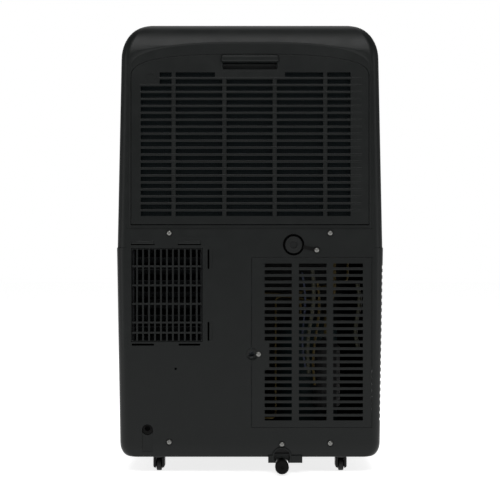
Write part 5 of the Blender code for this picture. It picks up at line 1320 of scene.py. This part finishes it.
def controlsMade():
    made = controls
    refined("control_panel", "casing", panelGloss, 0.0007, 3)
    lamps = dict(power=True, mode=False, fan=True, timer=False, warmer=False, cooler=False)
    for name in lamps:
        refined(name + "_button", name + "_button", buttonSatin, 0.0005, 3)
        low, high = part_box(name + "_button")
        spot = Vector(((low.x + high.x) / 2, (low.y + high.y) / 2, high.z))
        radius, line, rise = made["markRadius"], made["markLine"] / 2, made["markHeight"]
        base = spot - upward * 0.0002
        pieces = []
        if name in ("power", "timer"):
            ring = drawOut("ring", base, upward, [(radius, 0.0), (radius, rise)], 32)
            reach = upward * past
            cutAway(ring, rodBetween("inside", base - reach, base + reach, radius - 2 * line, 32))
            pieces.append(ring)
        arm = radius * 0.8
        strokes = []
        if name in ("power", "timer", "warmer"):
            strokes.append(((line, made["markLine"], 0), (line, arm, rise * 1.1)))
        if name == "warmer":
            strokes.append(((line, arm, 0), (line, 0, rise * 1.1)))
        if name in ("warmer", "cooler"):
            strokes.append(((arm, line, 0), (arm, line, rise)))
        for below, above in strokes:
            pieces.append(block("bar", base - Vector(below), base + Vector(above)))
        if name in ("mode", "fan"):
            for step in range(3):
                angle = math.tau * step / 3
                dot = base + Vector((math.sin(angle), math.cos(angle), 0)) * radius * 0.6
                small = made["dotRadius"]
                rings = [(small + line * (name == "fan"), 0.0), (small, rise)]
                pieces.append(drawOut("dot", dot, upward, rings, 20))
        mark(name + "Mark", pieces, name + "_button")
    low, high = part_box("control_panel")
    bead = made["lampRadius"]
    for name, lit in lamps.items():
        spot = middleOf(name + "_button")
        base = (spot.x, high.y - made["lampInset"], high.z - 0.0006)
        rings = [(bead, 0.0), (bead, 0.0006), (bead * 0.6, 0.0009)]
        drop = drawOut(name + "Lamp", base, upward, rings, 20)
        finishPiece(drop, "casing", lampGreen if lit else lampDark)
    glassHalf, (far, near) = made["glassHalf"], made["glassReach"]
    lows = (-glassHalf, high.y - far, high.z - 0.0008)
    glass = block("displayGlass", lows, (glassHalf, high.y - near, high.z + 0.00025), 0.0002)
    finishPiece(glass, "casing", displayGlass)
    digit, line, tall = made["digitWidth"], made["digitLine"], made["digitHeight"]
    half, y, z, gap = tall / 2, high.y - made["digitInset"], high.z + 0.0001, made["digitGap"]
    lit = []
    for left, shape in zip(made["digitsAt"], ("abged", "fgbc")):
        right = left + digit
        strokes = {
            "a": ((left + gap, y - line), (right - gap, y)),
            "g": ((left + gap, y - half - line / 2), (right - gap, y - half + line / 2)),
            "d": ((left + gap, y - tall), (right - gap, y - tall + line)),
            "f": ((left, y - half), (left + line, y)),
            "b": ((right - line, y - half), (right, y)),
            "e": ((left, y - tall), (left + line, y - half)),
            "c": ((right - line, y - tall), (right, y - half)),
        }
        for key in shape:
            (lowX, lowY), (highX, highY) = strokes[key]
            lows = (lowX + gap, lowY + gap, z)
            lit.append(block("stroke", lows, (highX - gap, highY - gap, z + made["digitRise"])))
    finishPiece(joinUp("digits", lit), "casing", digitLight)


controlsMade()
dress(boardGreen, "control_board")
print("outlet and controls fitted")

# inside: coils, fans, compressor and pipework

dress(coldFins, "evaporator_coil")
dress(hotFins, "condenser_coil")
dress(innerPlastic, "cold_fan_scroll", "hot_fan_scroll", "drip_tray", "electrical_box")
dress(darkPlastic, "cold_fan_wheel", "hot_fan_wheel")
dress(enamel, "cold_fan_motor", "hot_fan_motor", "accumulator")
refined("compressor", "casing", tealEnamel, 0.003, 3)
for pipe in ("suction_pipe", "discharge_pipe", "capillary_tube", "return_pipe"):
    dress(copper, pipe)

harness = {
    "wires": (
        ((-0.1020, 0.148), (-0.1080, 0.150), 0.0034, "olive"),
        ((-0.1120, 0.152), (-0.1170, 0.150), 0.0024, "copper"),
        ((-0.0960, 0.156), (-0.0900, 0.152), 0.0018, "blue"),
        ((-0.1880, 0.140), (-0.1865, 0.146), 0.0036, "olive"),
    ),
    "spans": ((0.170, 0.350), (0.150, 0.330), (0.180, 0.345), (0.215, 0.325)),
}


def wireMade(name, start, end, radius, look):
    # a soft S between two clips
    letGo()
    bpy.ops.mesh.primitive_circle_add(vertices=16, radius=radius, fill_type="NGON", location=start)
    wire = takeNew(name)
    start, end = Vector(start), Vector(end)
    steps = 24
    bpy.ops.object.mode_set(mode="EDIT")
    bpy.ops.mesh.select_all(action="SELECT")
    before = start
    for step in range(1, steps + 1):
        share = step / steps
        spot = start.lerp(end, share) + Vector((0.004, 0.002, 0)) * math.sin(share * math.tau)
        bpy.ops.mesh.extrude_region_move(TRANSFORM_OT_translate={"value": spot - before})
        before = spot
    bpy.ops.mesh.select_all(action="SELECT")
    bpy.ops.mesh.normals_make_consistent(inside=False)
    bpy.ops.object.mode_set(mode="OBJECT")
    finishPiece(wire, "casing", look)


wireLooks = {"olive": oliveSleeve, "copper": copper, "blue": blueSleeve}
for index, (wire, (floor, ceiling)) in enumerate(zip(harness["wires"], harness["spans"])):
    lower, upper, radius, name = wire
    made = "harness" + str(index + 1)
    wireMade(made, (*lower, floor), (*upper, ceiling), radius, wireLooks[name])
print("works dressed")

# floor, light and camera

studio = {
    "world": 1.0,
    "fill": 0.22,
    "keyPower": 62.0,
    "topPower": 9.0,
    "sidePower": 3.0,
    "cameraDistance": 2.0,
    "cameraHeight": 0.384,
    "lens": 84.3,
}


def floorMade():
    letGo()
    bpy.ops.mesh.primitive_plane_add(size=1, location=(0, 0, -0.0004))
    ground = takeNew("floor", (24, 24, 1))
    ground.data.materials.append(paleFloor.material)


def lamp(name, power, size, place, aim):
    letGo()
    bpy.ops.object.light_add(type="AREA", location=place)
    light = bpy.context.object
    light.name = name
    light.data.shape = "RECTANGLE"
    light.data.size, light.data.size_y = size
    light.data.energy = power
    light.rotation_euler = (Vector(place) - Vector(aim)).to_track_quat("Z", "Y").to_euler()


floorMade()
world = bpy.data.worlds.new("studio")
world.use_nodes = True
backdrop = world.node_tree.nodes["Background"]
backdrop.inputs["Color"].default_value = (1.0, 1.0, 1.0, 1.0)
seen = world.node_tree.nodes.new("ShaderNodeLightPath")
strengthRange = world.node_tree.nodes.new("ShaderNodeMapRange")
strengthRange.inputs["To Min"].default_value = studio["fill"]
strengthRange.inputs["To Max"].default_value = studio["world"]
world.node_tree.links.new(seen.outputs["Is Camera Ray"], strengthRange.inputs["Value"])
world.node_tree.links.new(strengthRange.outputs["Result"], backdrop.inputs["Strength"])
bpy.context.scene.world = world
lamp("keyLight", studio["keyPower"], (2.6, 0.9), (0, 3.5, 3.0), (0, 0.18, 0.6))
lamp("topLight", studio["topPower"], (1.2, 1.2), (0, -0.2, 2.2), (0, 0.0, 0.72))
lamp("frontLight", studio["topPower"], (1.4, 0.6), (0, -1.9, 1.6), (0, -0.19, 0.6))
lamp("leftLight", studio["sidePower"], (0.5, 1.4), (1.6, 0.9, 0.7), (0.1, 0.1, 0.5))
lamp("rightLight", studio["sidePower"], (0.5, 1.4), (-1.6, 0.9, 0.7), (-0.1, 0.1, 0.5))
letGo()
bpy.ops.object.camera_add(
    location=(0, rearFace + studio["cameraDistance"], studio["cameraHeight"]),
    rotation=(math.pi / 2, 0, math.pi),
)
camera = bpy.context.object
camera.data.sensor_width = 36.0
camera.data.lens = studio["lens"]
bpy.context.scene.camera = camera
bpy.context.scene.view_settings.view_transform = "Standard"
bpy.context.scene.view_settings.look = "None"

print("finished")
